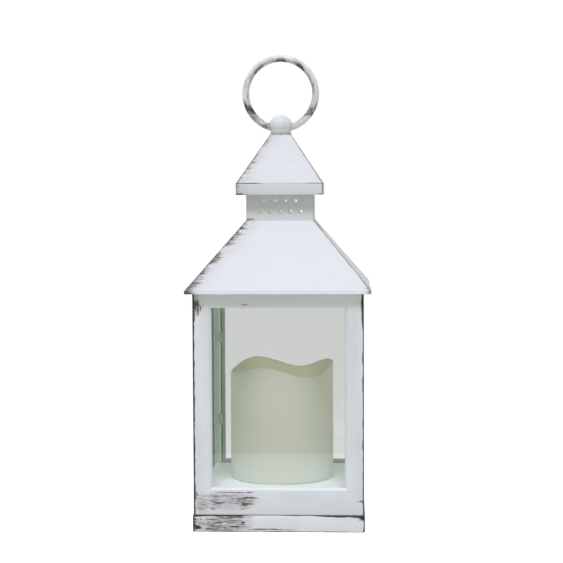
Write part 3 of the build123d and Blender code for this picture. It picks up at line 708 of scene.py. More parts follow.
def sloped_paint(name, colours, coat, reach, bite, low, foot_wear, rim=None):
    """Paint of a roof: dry strokes run off the left hip of each slope, and both hips show as thin lines.

    The strokes reach so far, and bite so deep. Wear climbs from the low edge, and a rim has paint of its own.
    """
    recipe = Recipe(name)
    wall = Wall(recipe)
    from_left = wall.out + wall.across
    from_right = wall.out - wall.across
    down = 90 * MM
    clumps = recipe.noise(wall.pattern, (down, 5 * MM, 1), 2.0)
    teeth = recipe.noise(wall.pattern, (down, 0.9 * MM, 1), 3.0)
    drag = (clumps + teeth).ramp(0.75, 1.25, 0.12 * reach, reach)
    dragged = (from_left / drag).ramp(0.0, 1.0, bite, 0.0)
    wear = most(dragged, from_left.ramp(0.0, 1.5 * reach, 0.2, 0.0))
    left = wall.edge(from_left, 0.3 * MM, 0.9 * MM, (down, 3 * MM))
    right = wall.edge(from_right, 0.25 * MM, 0.75 * MM, (down, 6 * MM))
    tips = most(from_left.ramp(9 * MM, 1 * MM), from_right.ramp(4 * MM, 0.5 * MM, 0.0, 0.7))
    foot = wall.up.ramp(low + foot_wear, low) * tips
    line = 0.8 * most(left, right)
    if rim is not None:
        ends = abs(wall.across - 2 * MM).ramp(8 * MM, 17 * MM)
        from_rim = abs(wall.up - rim)
        edge = wall.edge(from_rim, 0.25 * MM, 0.7 * MM, (14 * MM, 9 * MM))
        line = most(line, edge * (0.75 * ends + 0.2))
        soft = 0.4 * MM
        coat = recipe.blend(wall.up.ramp(rim + soft, rim - soft), coat, colours.rim_paint)
    return finish_paint(
        recipe, colours, coat, most(wear, foot), line, wall.pattern, thinnest=SMOOTH_COAT
    )


def collar_paint(colours):
    """Paint of the vent collar, clean but for a rubbed foot at one end; darker above as painted shade under
    the cap, and paler at its foot as painted light.
    """
    recipe = Recipe("rubbed_white_collar")
    wall = Wall(recipe)
    wear = wall.strokes(COLLAR_STROKES, wall.pattern)
    line = wear.ramp(0.4, 0.65)
    # Painted light: paler paint towards the foot, below the cap's painted shade.
    foot = wall.up.ramp(COLLAR_LOW.z + 7.5 * MM, COLLAR_LOW.z + 3.5 * MM)
    coat = recipe.blend(foot, colours.collar_paint, colours.collar_foot_light)
    return finish_paint(recipe, colours, coat, wear, line, wall.pattern, thinnest=SMOOTH_COAT)


def knob_paint(colours):
    """Paint of the knob, with a light mottle and painted shade on its neck under the ball."""
    recipe = Recipe("rubbed_white_knob")
    up = recipe.split(recipe.place)[2]
    wear = recipe.noise(recipe.place, 2.5 * MM, 3.0).ramp(0.5, 0.8, 0.0, 0.2)
    # Painted shade on the neck below the ball.
    on_ball = up.ramp(CAP_HIGH.z + 2.2 * MM, CAP_HIGH.z + 3.4 * MM)
    coat = recipe.blend(on_ball, colours.neck_shade_paint, colours.knob_paint)
    long, short = (5 * MM, 1.6 * MM), (2 * MM, 1.2 * MM)
    return finish_paint(recipe, colours, coat, wear, 0.0, recipe.place, long, short)


def ring_paint(colours):
    """Paint of the ring, dragged off in upright strokes, most of all on parts of its round, and greyer on its
    inner side as wear and painted shade.
    """
    recipe = Recipe("rubbed_white_ring")
    x, y, z = recipe.split(recipe.place)
    rise = z - RING_MIDDLE
    clock = recipe.math("ARCTAN2", x, rise)
    out = recipe.math("SQRT", x * x + rise * rise) - RING_RADIUS
    side = clock.sign()
    slanting = out * side * (1.0 / RING_RADIUS) + clock
    lean = 0.35
    hatch = abs(x) + rise * rise * (lean / RING_RADIUS)
    pattern = recipe.vector(rise, hatch, 20.0 * y + side)
    half = 1.4 * MM
    # The inner side is greyer all round: wear, and partly painted shade where it faces down and away from the
    # light.
    inner = out.ramp(half, -half, 0.35, 1.0)
    wear = 0.38 * inner
    for hours, spread, strength, inside in RING_STROKES:
        apart = abs(slanting - math.radians(30 * hours))
        mark = apart.ramp(0.0, math.radians(spread), strength, 0.0)
        wear = most(wear, mark * inner if inside else mark)
    long, short = (6 * MM, 0.7 * MM), (3 * MM, 0.4 * MM)
    return finish_paint(recipe, colours, colours.ring_paint, wear, 0.0, pattern, long, short)


def inside_paint(name, base):
    """Frames on their inner side, in a light greenish tone that paints the light from the panes, with a
    painted glow: emission that stands in for light, as the wall is no lamp.
    """
    recipe = Recipe(name)
    cloud = recipe.noise(recipe.place, (14 * MM, 14 * MM, 30 * MM), 4.0)
    fine = recipe.noise(recipe.place, 0.8 * MM, 2.0)
    recipe.set(
        base_color=recipe.blend(cloud.ramp(0.35, 0.65), base, darker(base, 0.9)),
        roughness=0.5,
        # Painted glow: a little emission that stands in for light inside the lantern.
        emission_color=(*base, 1),
        emission_strength=0.045,
    )
    recipe.bump(fine, 0.05 * MM, 0.4)
    return recipe.material


def glass(name, colours, outer, inner):
    """Clear pane that dims what is seen through it a little, mirrors more at a slant and lets lamps through.

    Its face mirrors the given share from the outer side, and from the inner one.
    """
    recipe = Recipe(name)
    facing = recipe.node("ShaderNodeLayerWeight", "Facing", {"Blend": 0.5})
    behind = recipe.node("ShaderNodeNewGeometry", "Backfacing")
    straight = (inner - outer) * behind + outer
    mirror_share = 0.5 * recipe.math("POWER", facing, 4.0) + straight
    tinted = recipe.node("ShaderNodeBsdfTransparent", 0, {"Color": (*colours.glass, 1)})
    clear = recipe.node("ShaderNodeBsdfTransparent", 0, {"Color": LAMP_TINT})
    polish = {"Color": WHITE, "Roughness": 0.0}
    mirror = recipe.node("ShaderNodeBsdfAnisotropic", 0, polish)
    by_sight = recipe.node("ShaderNodeLightPath", "Is Camera Ray")
    recipe.tree.nodes.remove(recipe.shader)
    recipe.show(recipe.mix(by_sight, clear, recipe.mix(mirror_share, tinted, mirror)))
    return recipe.material


def glass_edge(colours):
    """Cut edge of a pane."""
    recipe = Recipe("green_pane_edge")
    ripple = recipe.noise(recipe.place, 3 * MM, 2.0)
    recipe.set(
        base_color=recipe.blend(ripple, colours.glass_edge, darker(colours.glass_edge, 0.6)),
        roughness=0.25,
        transmission_weight=0.3,
    )
    return recipe.material


def wax(colours):
    """Candle shell: ivory plastic, darker towards its foot as painted shade, and paler and greener at the
    foot as painted light bounced off the floor.
    """
    recipe = Recipe("ivory_candle_shell")
    up = recipe.split(recipe.place)[2]
    cloud = recipe.noise(recipe.place, (16 * MM, 16 * MM, 22 * MM), 3.0)
    fine = recipe.noise(recipe.place, 1.1 * MM, 3.0)
    # Painted shade: the shell darkens towards its foot.
    lower_shade = up.ramp(CANDLE_HIGH.z, SOCKET_HIGH.z, 0.0, 0.8)
    body = recipe.blend(0.5 * cloud + lower_shade, colours.wax, darker(colours.wax, 0.9))
    # Painted light: the foot turns paler and greener, as light bounced off the floor.
    foot = up.ramp(SOCKET_HIGH.z + 4 * MM, CANDLE_LOW.z + 3 * MM)
    recipe.set(
        base_color=recipe.blend(foot, body, colours.wax_foot_bounce_and_socket),
        roughness=fine.ramp(*SPAN, 0.42, 0.52),
        subsurface_weight=0.6,
        subsurface_scale=6 * MM,
        subsurface_radius=(1.0, 1.0, 0.85),
    )
    recipe.bump(fine, 0.04 * MM, 0.35)
    return recipe.material


def hollow_wax(colours):
    """Inner wall of the candle: lighter and yellowish in the middle as painted light, greyer where the wall
    turns to the sides as painted shade, with a painted glow.
    """
    recipe = Recipe("hollow_candle_wall")
    across = recipe.split(recipe.place)[0]
    fine = recipe.noise(recipe.place, 1.1 * MM, 3.0)
    # Painted light in the middle of the hollow, painted shade where the wall turns away.
    turned = abs(across).ramp(12 * MM, 29 * MM)
    base = recipe.blend(turned, colours.wax_inside_lit_middle, colours.wax_inside_shaded_sides)
    recipe.set(
        base_color=base,
        roughness=fine.ramp(*SPAN, 0.44, 0.56),
        # Painted glow: emission that stands in for light inside the candle.
        emission_color=base,
        emission_strength=0.105,
    )
    recipe.bump(fine, 0.04 * MM, 0.4)
    return recipe.material


def moulded(name, base, grain=0.9 * MM, roughness=0.45, painted_glow=0.0):
    """Moulded plastic with a faint grain and slow changes of tone. Its painted_glow is emission that stands
    in for light, as the plastic is no lamp.
    """
    recipe = Recipe(name)
    cloud = recipe.noise(recipe.place, 12 * MM, 3.0)
    fine = recipe.noise(recipe.place, grain, 2.0)
    recipe.set(
        base_color=recipe.blend(cloud.ramp(*SPAN), base, darker(base, 0.92)),
        roughness=fine.ramp(*SPAN, roughness - 0.06, roughness + 0.06),
        emission_color=(*base, 1),
        emission_strength=painted_glow,
    )
    recipe.bump(fine, 0.04 * MM, 0.4)
    return recipe.material


def plated(name, base, roughness):
    """Plated metal with fine scratches."""
    recipe = Recipe(name)
    scratch = recipe.noise(recipe.place, (3 * MM, 0.15 * MM, 0.6 * MM), 3.0)
    cloud = recipe.noise(recipe.place, 2.5 * MM, 3.0)
    recipe.set(
        base_color=recipe.blend(cloud.ramp(0.35, 0.7), base, darker(base, 0.7)),
        roughness=scratch.ramp(*SPAN, roughness - 0.08, roughness + 0.1),
        metallic=1.0,
    )
    recipe.bump(scratch, 0.02 * MM, 0.3)
    return recipe.material


def cell_jacket(colours):
    """Sleeve of a cell, with a band at one end and bright metal on both faces. The second cell is turned."""
    recipe = Recipe("printed_cell_sleeve")
    low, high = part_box("battery_2")
    x, y, _ = recipe.split(recipe.place)
    from_second = abs(y - (low.y + high.y) / 2)
    turned = recipe.math("LESS_THAN", from_second, high.x / 4)
    along = x * (1.0 - 2.0 * turned)
    grain = recipe.noise(recipe.place, (0.4 * MM, 3 * MM, 3 * MM), 2.0)
    metal = abs(along - 0.8 * MM).ramp(21.4 * MM, 21.6 * MM)
    band = along.ramp(12 * MM, 12.4 * MM)
    sleeve = recipe.blend(band, colours.jacket, colours.jacket_band)
    recipe.set(
        base_color=recipe.blend(metal, sleeve, colours.nickel),
        roughness=grain.ramp(*SPAN, 0.26, 0.36),
        metallic=metal,
    )
    return recipe.material


def lens(colours):
    """Tinted lens of the light."""
    recipe = Recipe("amber_light_lens")
    swirl = recipe.noise(recipe.place, 1.2 * MM, 2.0)
    recipe.set(
        base_color=recipe.blend(swirl, colours.lens, darker(colours.lens, 0.8)),
        roughness=0.12,
        transmission_weight=0.45,
        ior=1.5,
    )
    return recipe.material


def pale_ground(colours, stage):
    """Pale ground, clear from below, which fades into the backdrop.

    The panes mirror it as a pale table in a dim room.
    """
    recipe = Recipe("pale_ground")
    by_sight = recipe.node("ShaderNodeLightPath", "Is Camera Ray")
    by_mirror = recipe.node("ShaderNodeLightPath", "Is Singular Ray")
    below = recipe.node("ShaderNodeNewGeometry", "Backfacing")
    cloud = recipe.noise(recipe.place, stage.ground_cloud, 2.0)
    away = recipe.node("ShaderNodeVectorMath", "Value", {0: recipe.place}, operation="LENGTH")
    most_lift = stage.ground_lift + stage.shadow_lift
    lift = away.ramp(stage.ground_fade, stage.shadow_reach, stage.ground_lift, most_lift)
    recipe.set(
        base_color=recipe.blend(cloud, colours.floor, darker(colours.floor, 0.985)),
        roughness=0.9,
        specular_ior_level=0.1,
        emission_color=WHITE,
        emission_strength=by_sight * lift,
    )
    fade = away.ramp(stage.ground_fade, 0.9 * stage.ground_half)
    clear = recipe.node("ShaderNodeBsdfTransparent", 0)
    pale = Value(recipe, recipe.shader.outputs[0])
    seen = recipe.mix(most(fade, below), pale, clear)
    x, y, _ = recipe.split(recipe.place)
    inside, outside = stage.table_half - stage.table_soft, stage.table_half + stage.table_soft
    table = most(abs(x), abs(y)).ramp(inside, outside, stage.table_mirrored, stage.room_mirrored)
    mirrored = recipe.node("ShaderNodeEmission", 0, {"Strength": table})
    recipe.show(recipe.mix(by_mirror, seen, mirrored))
    return recipe.material


# Operators

class LANTERN_OT_frames(bpy.types.Operator):
    """Model the four side frames with their windows, glazing ribs, lugs, corner tabs and corner blocks"""

    bl_idname = "lantern.frames"
    bl_label = "Side Frames"

    def execute(self, context):
        sizes, colours, _ = settings()
        materials = [
            frame_paint(colours),
            # Inner paint and lugs carry painted light, a painted glow and, on the lugs, painted shade.
            inside_paint("thin_inner_paint", colours.inside),
            inside_paint("bare_lugs", colours.lug),
        ]
        inner_face = FRAME_LOW.y + sizes.panel_thickness - HAIR
        lug_face = inner_face + sizes.rib_height + NEAR
        for quarters, side in enumerate(SIDES):
            bm = bmesh.new()
            self.wall(bm, sizes)
            self.lugs(bm, sizes)
            if side in ("front", "back"):
                self.corners(bm, sizes)
            close(bm)
            for face in bm.faces:
                depth = face.calc_center_median().y
                face.material_index = int(depth > inner_face) + int(depth > lug_face)
            quarter_turn(bm, bm.verts, quarters)
            add_painted(side + "_frame", bm, materials)
        return {"FINISHED"}

    def wall(self, bm, sizes):
        """Panel with a slanted window edge outside and a glazing rib inside."""
        half = FRAME_HIGH.x
        front = FRAME_LOW.y
        back = front + sizes.panel_thickness
        low, high = FRAME_LOW.z, FRAME_HIGH.z
        pane_width = PANE_HIGH.x - PANE_LOW.x
        reach = sizes.pane_reach
        window = (pane_width - 2 * reach, PANE_LOW.z + reach, PANE_HIGH.z - reach)
        radius = sizes.corner_radius

        def corner(turned):
            """Outer border at some way round the upright corner."""
            inset = radius * (1 - math.sin(turned))
            ease = sizes.soft_edge * (1 - math.sin(turned))
            return 2 * (half - inset), low + ease, high - ease, front + radius * (1 - math.cos(turned))

        def around(margin, depth):
            """Border around the window, grown by a margin."""
            width, sill, head = window
            return width + 2 * margin, sill - margin, head + margin, depth

        pocket = reach + sizes.pane_gap
        outer_rib = pocket + sizes.rib_width
        rib_face = back + sizes.rib_height
        bridge_round(bm, [
            corner(math.radians(45)),
            corner(math.radians(22.5)),
            corner(0),
            around(sizes.window_bevel, front),
            around(0, front + sizes.window_bevel),
            around(0, back),
            around(pocket, back),
            around(pocket, rib_face),
            around(outer_rib, rib_face),
            around(outer_rib, back),
            (2 * (half - sizes.panel_thickness), low, high, back),
        ])
        edge_of_rib = window[0] / 2 + outer_rib + NEAR
        opening = sharp_edges(bm, lambda point: abs(point.x) < edge_of_rib)
        round_edges(bm, [edge for edge in opening if edge.is_convex], sizes.soft_edge)

    def lugs(self, bm, sizes):
        """Four small lugs on the rib that hold the pane."""
        back = FRAME_LOW.y + sizes.panel_thickness
        face = back + sizes.rib_height
        pocket_half = (PANE_HIGH.x - PANE_LOW.x) / 2 + sizes.pane_gap
        middle = (PANE_LOW.z + PANE_HIGH.z) / 2
        quarter = (PANE_HIGH.z - PANE_LOW.z - 2 * sizes.pane_reach) / 4
        half_length = sizes.lug_length / 2
        for way in (-1, 1):
            inner = way * (pocket_half - sizes.lug_overhang)
            outer = way * (pocket_half + sizes.rib_width - SUNK)
            for height in (middle - quarter, middle + quarter):
                low = (min(inner, outer), face - SUNK, height - half_length)
                high = (max(inner, outer), face + sizes.lug_thickness, height + half_length)
                round_edges(bm, block(bm, low, high), sizes.soft_edge)

    def corners(self, bm, sizes):
        """Tabs at the top that the roof is screwed to, and blocks at the foot that carry the floor plate."""
        back = FRAME_LOW.y + sizes.panel_thickness
        side = FRAME_HIGH.x - sizes.panel_thickness - sizes.pane_gap
        clear = 0.05 * MM
        tab = (sizes.tab_reach, FRAME_HIGH.z - sizes.tab_thickness, FRAME_HIGH.z - clear)
        foot = (sizes.block_reach, FRAME_LOW.z + clear, FRAME_LOW.z + sizes.block_height - clear)
        for reach, low, high in (tab, foot):
            for way in (-1, 1):
                ends = sorted((way * side, way * (side - reach)))
                edges = block(bm, (ends[0], back - SUNK, low), (ends[1], back + reach, high))
                round_edges(bm, edges, sizes.soft_edge)


class LANTERN_OT_panes(bpy.types.Operator):
    """Model the four glass panes with ground edges"""

    bl_idname = "lantern.panes"
    bl_label = "Glass Panes"

    # Shares of light that a pane mirrors straight on: its outer face from outside, and all else.
    OUTER_SHARE, INNER_SHARE = 0.06, 0.012

    def execute(self, context):
        sizes, colours, _ = settings()
        materials = [
            glass("clear_pane_outside", colours, self.OUTER_SHARE, self.INNER_SHARE),
            glass_edge(colours),
            glass("clear_pane_inside", colours, self.INNER_SHARE, self.INNER_SHARE),
        ]
        seat = PANE_LOW + Vector((0, sizes.pane_lift, 0))
        for quarters, side in enumerate(SIDES):
            bm = bmesh.new()
            round_edges(bm, block(bm, seat, PANE_HIGH), sizes.soft_edge, segments=1)
            close(bm)
            for face in bm.faces:
                facing = face.normal.y
                face.material_index = 1 + round(facing) if abs(facing) > FLAT else 1
            quarter_turn(bm, bm.verts, quarters)
            add_piece(side + "_pane_glass", bm, materials, "lantern", [side + "_pane"])
        return {"FINISHED"}


class LANTERN_OT_roof(bpy.types.Operator):
    """Model the roof and the thin eave plate under it"""

    bl_idname = "lantern.roof"
    bl_label = "Roof and Eaves"

    def execute(self, context):
        sizes, colours, _ = settings()
        self.slopes(sizes, colours)
        self.eaves(sizes, colours)
        return {"FINISHED"}

    def slopes(self, sizes, colours):
        """Hollow roof with a way through its flat top."""
        bm = bmesh.new()
        half, low, high = ROOF_HIGH.x, ROOF_LOW.z, ROOF_HIGH.z
        slope_low = low + sizes.roof_lip
        run, rise = half - sizes.collar_half, high - slope_low
        inset = sizes.roof_wall * math.hypot(run, rise) / rise
        ceiling = high - sizes.roof_wall
        ceiling_half = sizes.collar_half + run * sizes.roof_wall / rise - inset
        square_turn(bm, (
            (half, low),
            (half, slope_low),
            (sizes.collar_half, high),
            (sizes.vent_half, high),
            (sizes.vent_half, ceiling),
            (ceiling_half, ceiling),
            (half - inset, slope_low),
            (half - inset, low),
        ))
        close(bm)
        hips = [
            edge for edge in sharp_edges(bm)
            if max(abs(vert.co.x) for vert in edge.verts) > half - 2 * NEAR
            and max(vert.co.z for vert in edge.verts) > slope_low - NEAR
        ]
        round_edges(bm, hips, sizes.hip_radius / 2, segments=3)
        bm.normal_update()
        mark_inside(bm, ceiling - MM)
        paint = sloped_paint(
            "rubbed_white_roof", colours, colours.roof_paint,
            reach=10 * MM, bite=0.74, low=EAVE_LOW.z, foot_wear=7 * MM,
        )
        bare = moulded("bare_white_inside", colours.bare_inside)
        add_painted("roof", bm, [paint, bare])

    def eaves(self, sizes, colours):
        """Thin plate between the roof and the frames, much lighter than the other paint as a painted
        highlight along its edge.
        """
        bm = bmesh.new()
        tab_line = FRAME_HIGH.x - sizes.panel_thickness - sizes.tab_reach - sizes.pane_gap
        half, low, high = EAVE_HIGH.x, EAVE_LOW.z, EAVE_HIGH.z
        square_turn(bm, ((half, low), (half, high), (tab_line, high), (tab_line, low)))
        close(bm)
        round_edges(bm, sharp_edges(bm, lambda point: point.z < low + NEAR), sizes.soft_edge)
        # The eave's paint is light enough to paint a highlight along its edge.
        paint = sloped_paint(
            "rubbed_white_eaves", colours, colours.eave_highlight_paint,
            reach=5 * MM, bite=0.5, low=low, foot_wear=4 * MM,
        )
        add_painted("eave_plate", bm, [paint])


class LANTERN_OT_collar(bpy.types.Operator):
    """Model the vent collar with its two rows of holes"""

    bl_idname = "lantern.collar"
    bl_label = "Vent Collar"

    def execute(self, context):
        sizes, colours, _ = settings()
        bm = bmesh.new()
        self.tube(bm, sizes)
        low, high, way = COLLAR_LOW.z, COLLAR_HIGH.z, sizes.vent_half
        floor = (sizes.collar_half - sizes.collar_wall, low, low + sizes.roof_wall)
        flange = (COLLAR_HIGH.x, high - sizes.roof_wall, high)
        rings = []
        for half, foot, top in (floor, flange):
            rings += square_turn(bm, ((half, foot), (half, top), (way, top), (way, foot)))
        bmesh.ops.recalc_face_normals(bm, faces=rings)
        bm.normal_update()
        mark_inside(bm, high)
        # Painted glow: the collar's inner wall gives off light, so that the vent holes look lit from inside.
        bare = moulded("bare_white_collar", colours.bare_inside, painted_glow=0.2)
        add_painted("vent_collar", bm, [collar_paint(colours), bare])
        return {"FINISHED"}

    def tube(self, bm, sizes):
        """Square tube with rounded corners and round holes in each wall."""
        half, radius = sizes.collar_half, sizes.corner_radius
        flat = half - radius
        low, high = COLLAR_LOW.z, COLLAR_HIGH.z - sizes.roof_wall
        edges = hoop(bm, 2 * flat, low, high, -half)
        side = [edge for edge in edges if all(vert.co.x > 0 for vert in edge.verts)]
        upright = Matrix.Rotation(QUARTER, 4, "X")
        for count, height in ((5, sizes.lower_vents), (4, sizes.upper_vents)):
            for number in range(count):
                across = (number - (count - 1) / 2) * sizes.vent_pitch
                place = Matrix.Translation((across, -half, low + height)) @ upright
                edges += circle(bm, sizes.vent_radius, place)
        bmesh.ops.triangle_fill(bm, edges=edges, use_beauty=True)
        bmesh.ops.spin(
            bm, geom=side + list({vert for edge in side for vert in edge.verts}),
            cent=(flat, -flat, 0), axis=(0, 0, 1), angle=QUARTER, steps=4,
        )
        wall = list(bm.verts) + list(bm.edges) + list(bm.faces)
        for quarters in (1, 2, 3):
            copy = bmesh.ops.duplicate(bm, geom=wall)["geom"]
            quarter_turn(bm, only(copy, bmesh.types.BMVert), quarters)
        close(bm)
        bmesh.ops.solidify(bm, geom=list(bm.faces), thickness=sizes.collar_wall)

        def on_rim(point):
            """Whether a point is on the outer rim of a hole."""
            return wall_reach(point) > half - HAIR and low + MM < point.z < high - MM

        round_edges(bm, sharp_edges(bm, on_rim, math.radians(60)), sizes.soft_edge)


class LANTERN_OT_cap(bpy.types.Operator):
    """Model the top cap with its upright rim"""

    bl_idname = "lantern.cap"
    bl_label = "Top Cap"

    def execute(self, context):
        sizes, colours, _ = settings()
        bm = bmesh.new()
        half, low, high = CAP_HIGH.x, CAP_LOW.z, CAP_HIGH.z
        rim = low + sizes.cap_rim
        run, rise = half - sizes.cap_top_half, high - rim
        inset = sizes.roof_wall * math.hypot(run, rise) / rise
        crown = high - sizes.cap_crown
        crown_half = sizes.cap_top_half + run * sizes.cap_crown / rise - inset
        square_turn(bm, (
            (half, low), (half, rim), (sizes.cap_top_half, high), (0, high),
            (0, crown), (crown_half, crown), (half - inset, rim), (half - inset, low),
        ))
        close(bm)

        def on_skin(point):
            """Whether a point is on the outer skin."""
            beside = wall_reach(point) > half - inset + NEAR or point.z > high - NEAR
            return beside and (point.z >= rim - MM or wall_reach(point) > half - NEAR)

        round_edges(bm, sharp_edges(bm, on_skin, math.radians(15)), sizes.hip_radius, segments=3)
        bm.normal_update()
        mark_inside(bm, low + MM)
        paint = sloped_paint(
            "rubbed_white_cap", colours, colours.cap_paint,
            reach=7 * MM, bite=0.5, low=low, foot_wear=2 * MM, rim=rim,
        )
        bare = moulded("bare_white_cap", colours.bare_inside)
        add_painted("top_cap", bm, [paint, bare])
        return {"FINISHED"}


class LANTERN_OT_knob(bpy.types.Operator):
    """Model the knob that the ring swings in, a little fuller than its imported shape"""

    bl_idname = "lantern.knob"
    bl_label = "Finial Knob"

    def execute(self, context):
        sizes, colours, _ = settings()
        bm = packed_shape("finial_knob")
        neck_top = CAP_HIGH.z + sizes.neck_height
        shown = [vert for vert in bm.verts if vert.co.z > CAP_HIGH.z - HAIR]
        neck = [vert for vert in shown if vert.co.z < neck_top]
        ball = [vert for vert in shown if vert.co.z >= neck_top]
        for verts, fuller in ((neck, sizes.neck_fuller), (ball, sizes.ball_fuller)):
            bmesh.ops.scale(bm, vec=(fuller, fuller, 1), verts=verts)
        add_painted("finial_knob", bm, [knob_paint(colours)])
        return {"FINISHED"}


class LANTERN_OT_ring(bpy.types.Operator):
    """Model the bent wire ring, whose ends turn inside the knob"""

    bl_idname = "lantern.ring"
    bl_label = "Ring Handle"

    def execute(self, context):
        sizes, colours, _ = settings()
        bm = bmesh.new()
        axis = JOINTS["ring_swing"]["pos_m"][2]
        stub, half_gap = sizes.ring_stub, sizes.ring_gap / 2
        bend_middle = axis + sizes.ring_bend
        bent = math.atan2(stub, RING_MIDDLE - bend_middle)
        place = Matrix.Translation((half_gap, 0, axis)) @ Matrix.Rotation(QUARTER, 4, "Y")
        first = circle(bm, RING_WIRE, place)
        ends = self.draw_out(bm, first, stub - half_gap)
        ends = self.bend(bm, ends, (stub, 0, bend_middle), bent, steps=6)
        ends = self.bend(bm, ends, (0, 0, RING_MIDDLE), 2 * math.pi - 2 * bent, steps=120)
        ends = self.bend(bm, ends, (-stub, 0, bend_middle), bent, steps=6)
        ends = self.draw_out(bm, ends, stub - half_gap)
        for opening in (first, ends):
            bmesh.ops.edgeloop_fill(bm, edges=opening)
        close(bm)
        add_painted("ring_handle", bm, [ring_paint(colours)], "ring")
        return {"FINISHED"}

    def draw_out(self, bm, ends, length):
        """Straight stretch of wire, which ends further along X."""
        made = bmesh.ops.extrude_edge_only(bm, edges=ends)["geom"]
        verts = only(made, bmesh.types.BMVert)
        bmesh.ops.translate(bm, verts=verts, vec=(length, 0, 0))
        edges = only(made, bmesh.types.BMEdge)
        return [edge for edge in edges if all(vert in verts for vert in edge.verts)]

    def bend(self, bm, ends, centre, turned, steps):
        """Round stretch of wire about a level axis."""
        verts = list({vert for edge in ends for vert in edge.verts})
        made = bmesh.ops.spin(
            bm, geom=verts + ends, cent=centre, axis=(0, -1, 0), angle=turned, steps=steps
        )["geom_last"]
        return only(made, bmesh.types.BMEdge)


class LANTERN_OT_base(bpy.types.Operator):
    """Model the plinth, and dress the floor plate and the battery door"""

    bl_idname = "lantern.base"
    bl_label = "Base and Floor"

    def execute(self, context):
        sizes, colours, _ = settings()
        white = moulded("white_moulded_plastic", colours.white_plastic)
        bm = packed_shape("base_plinth")
        flat = math.radians(0.5)
        bmesh.ops.dissolve_limit(bm, angle_limit=flat, verts=bm.verts, edges=bm.edges)
        half = PLINTH_HIGH.x - HAIR
        outer = sharp_edges(bm, lambda point: wall_reach(point) > half)
        round_edges(bm, outer, sizes.corner_radius, segments=3)
        bm.normal_update()
        for face in bm.faces:
            inside = wall_reach(face.calc_center_median()) < half - sizes.corner_radius
            face.material_index = int(inside or face.normal.z < -FLAT)
        add_painted("base_plinth", bm, [plinth_paint(colours), white])
        # Painted glow: the floor plate gives off a little light of its own.
        dress("floor_plate", moulded("white_floor_plastic", colours.white_plastic, painted_glow=0.08))
        dress("battery_door", white)
        return {"FINISHED"}


class LANTERN_OT_candle(bpy.types.Operator):
    """Model the candle's shell with its wavy rim and dish, and dress its socket and light"""

    bl_idname = "lantern.candle"
    bl_label = "Candle"

    # Places along the wavy rim: how far across the candle, how high above its foot (both mm) and the slope.
    RIM = ((-30.8, 62.3, 0.45), (-13.9, 68.1, 0.0), (14.4, 61.7, 0.0), (30.8, 69.0, 0.32))
    # How much the rim rises towards the back, and how far the wave slants across.
    TILT, SKEW = 0.016, 0.145

    def execute(self, context):
        sizes, colours, _ = settings()
        bm = bmesh.new()
        outer = CANDLE_HIGH.x
        inner = outer - sizes.candle_wall
        foot = CANDLE_LOW.z
        dish = foot + sizes.dish_height
        crest = CANDLE_HIGH.z
        lip, slant, waist = sizes.candle_wall / 2, 0.6 * MM, 20 * MM
        hole, under = sizes.dish_hole, dish - sizes.dish_thickness
        profile = [(inner, foot), (outer - slant, foot), (outer, foot + slant)]
        profile += [(outer, foot + waist), (outer, dish)]
        for degrees in range(0, 181, 30):
            turned = math.radians(degrees)
            across = outer - lip + lip * math.cos(turned)
            profile.append((across, crest - lip + lip * math.sin(turned)))
        profile += [(inner, dish), (hole, dish), (hole, under), (inner, under)]
        points = [bm.verts.new((radius, 0, height)) for radius, height in profile]
        edges = [bm.edges.new(pair) for pair in zip(points, points[1:] + points[:1])]
        turn(bm, points + edges, steps=160)
        close(bm)
        for vert in bm.verts:
            if vert.co.z > dish + MM:
                rim = self.rim_height(vert.co.x + self.SKEW * vert.co.y)
                vert.co.z -= crest - foot - rim - self.TILT * (vert.co.y + outer)
        bm.normal_update()
        for face in bm.faces:
            middle = face.calc_center_median()
            inward = face.normal.xy.dot(middle.xy) < -0.5 * middle.xy.length
            face.material_index = int(inward or middle.xy.length < inner - NEAR)
        materials = [wax(colours), hollow_wax(colours)]
        add_piece("candle_shell_wax", bm, materials, "lantern", ["candle_shell"])
        # The socket's own plastic takes the candle foot's colour, which on the candle also paints floor
        # light.
        white = moulded("pale_socket_plastic", colours.wax_foot_bounce_and_socket)
        for node in ("candle_socket", "diode_post"):
            dress(node, white)
        dress("diode", lens(colours))
        return {"FINISHED"}

    def rim_height(self, across):
        """Height of the wavy rim above the candle's foot."""
        past = 4
        across = min(max(across / MM, self.RIM[0][0] - past), self.RIM[-1][0] + past)
        spans = list(zip(self.RIM, self.RIM[1:]))
        first, second = next((pair for pair in spans if across <= pair[1][0]), spans[-1])
        (x0, z0, slope0), (x1, z1, slope1) = first, second
        span = x1 - x0
        t = (across - x0) / span
        rise = (2 * t ** 3 - 3 * t ** 2 + 1) * z0 + (t ** 3 - 2 * t ** 2 + t) * span * slope0
        rise += (3 * t ** 2 - 2 * t ** 3) * z1 + (t ** 3 - t ** 2) * span * slope1
        return rise * MM


class LANTERN_OT_fittings(bpy.types.Operator):
    """Dress the screws, cells, contacts, switch, board and wires"""

    bl_idname = "lantern.fittings"
    bl_label = "Inner Fittings"

    def execute(self, context):
        _, colours, _ = settings()
        finishes = {
            "zinc_steel": plated("zinc_plate", colours.zinc, 0.38),
            "nickel": plated("nickel_plate", colours.nickel, 0.3),
            "cell_jacket": cell_jacket(colours),
            "board_green": moulded("green_board", colours.board, 0.5 * MM, 0.35),
            "switch_black": moulded("black_switch_plastic", colours.switch, 0.5 * MM, 0.4),
            "wire_red": moulded("red_wire_sleeve", colours.wire_red, 0.6 * MM, 0.4),
            "wire_black": moulded("black_wire_sleeve", colours.wire_black, 0.6 * MM, 0.4),
        }
        for node, shown in frame["nodes"].items():
            slot = shown.material_slots[0].material.name
            if slot in finishes:
                dress(node, finishes[slot])
        return {"FINISHED"}


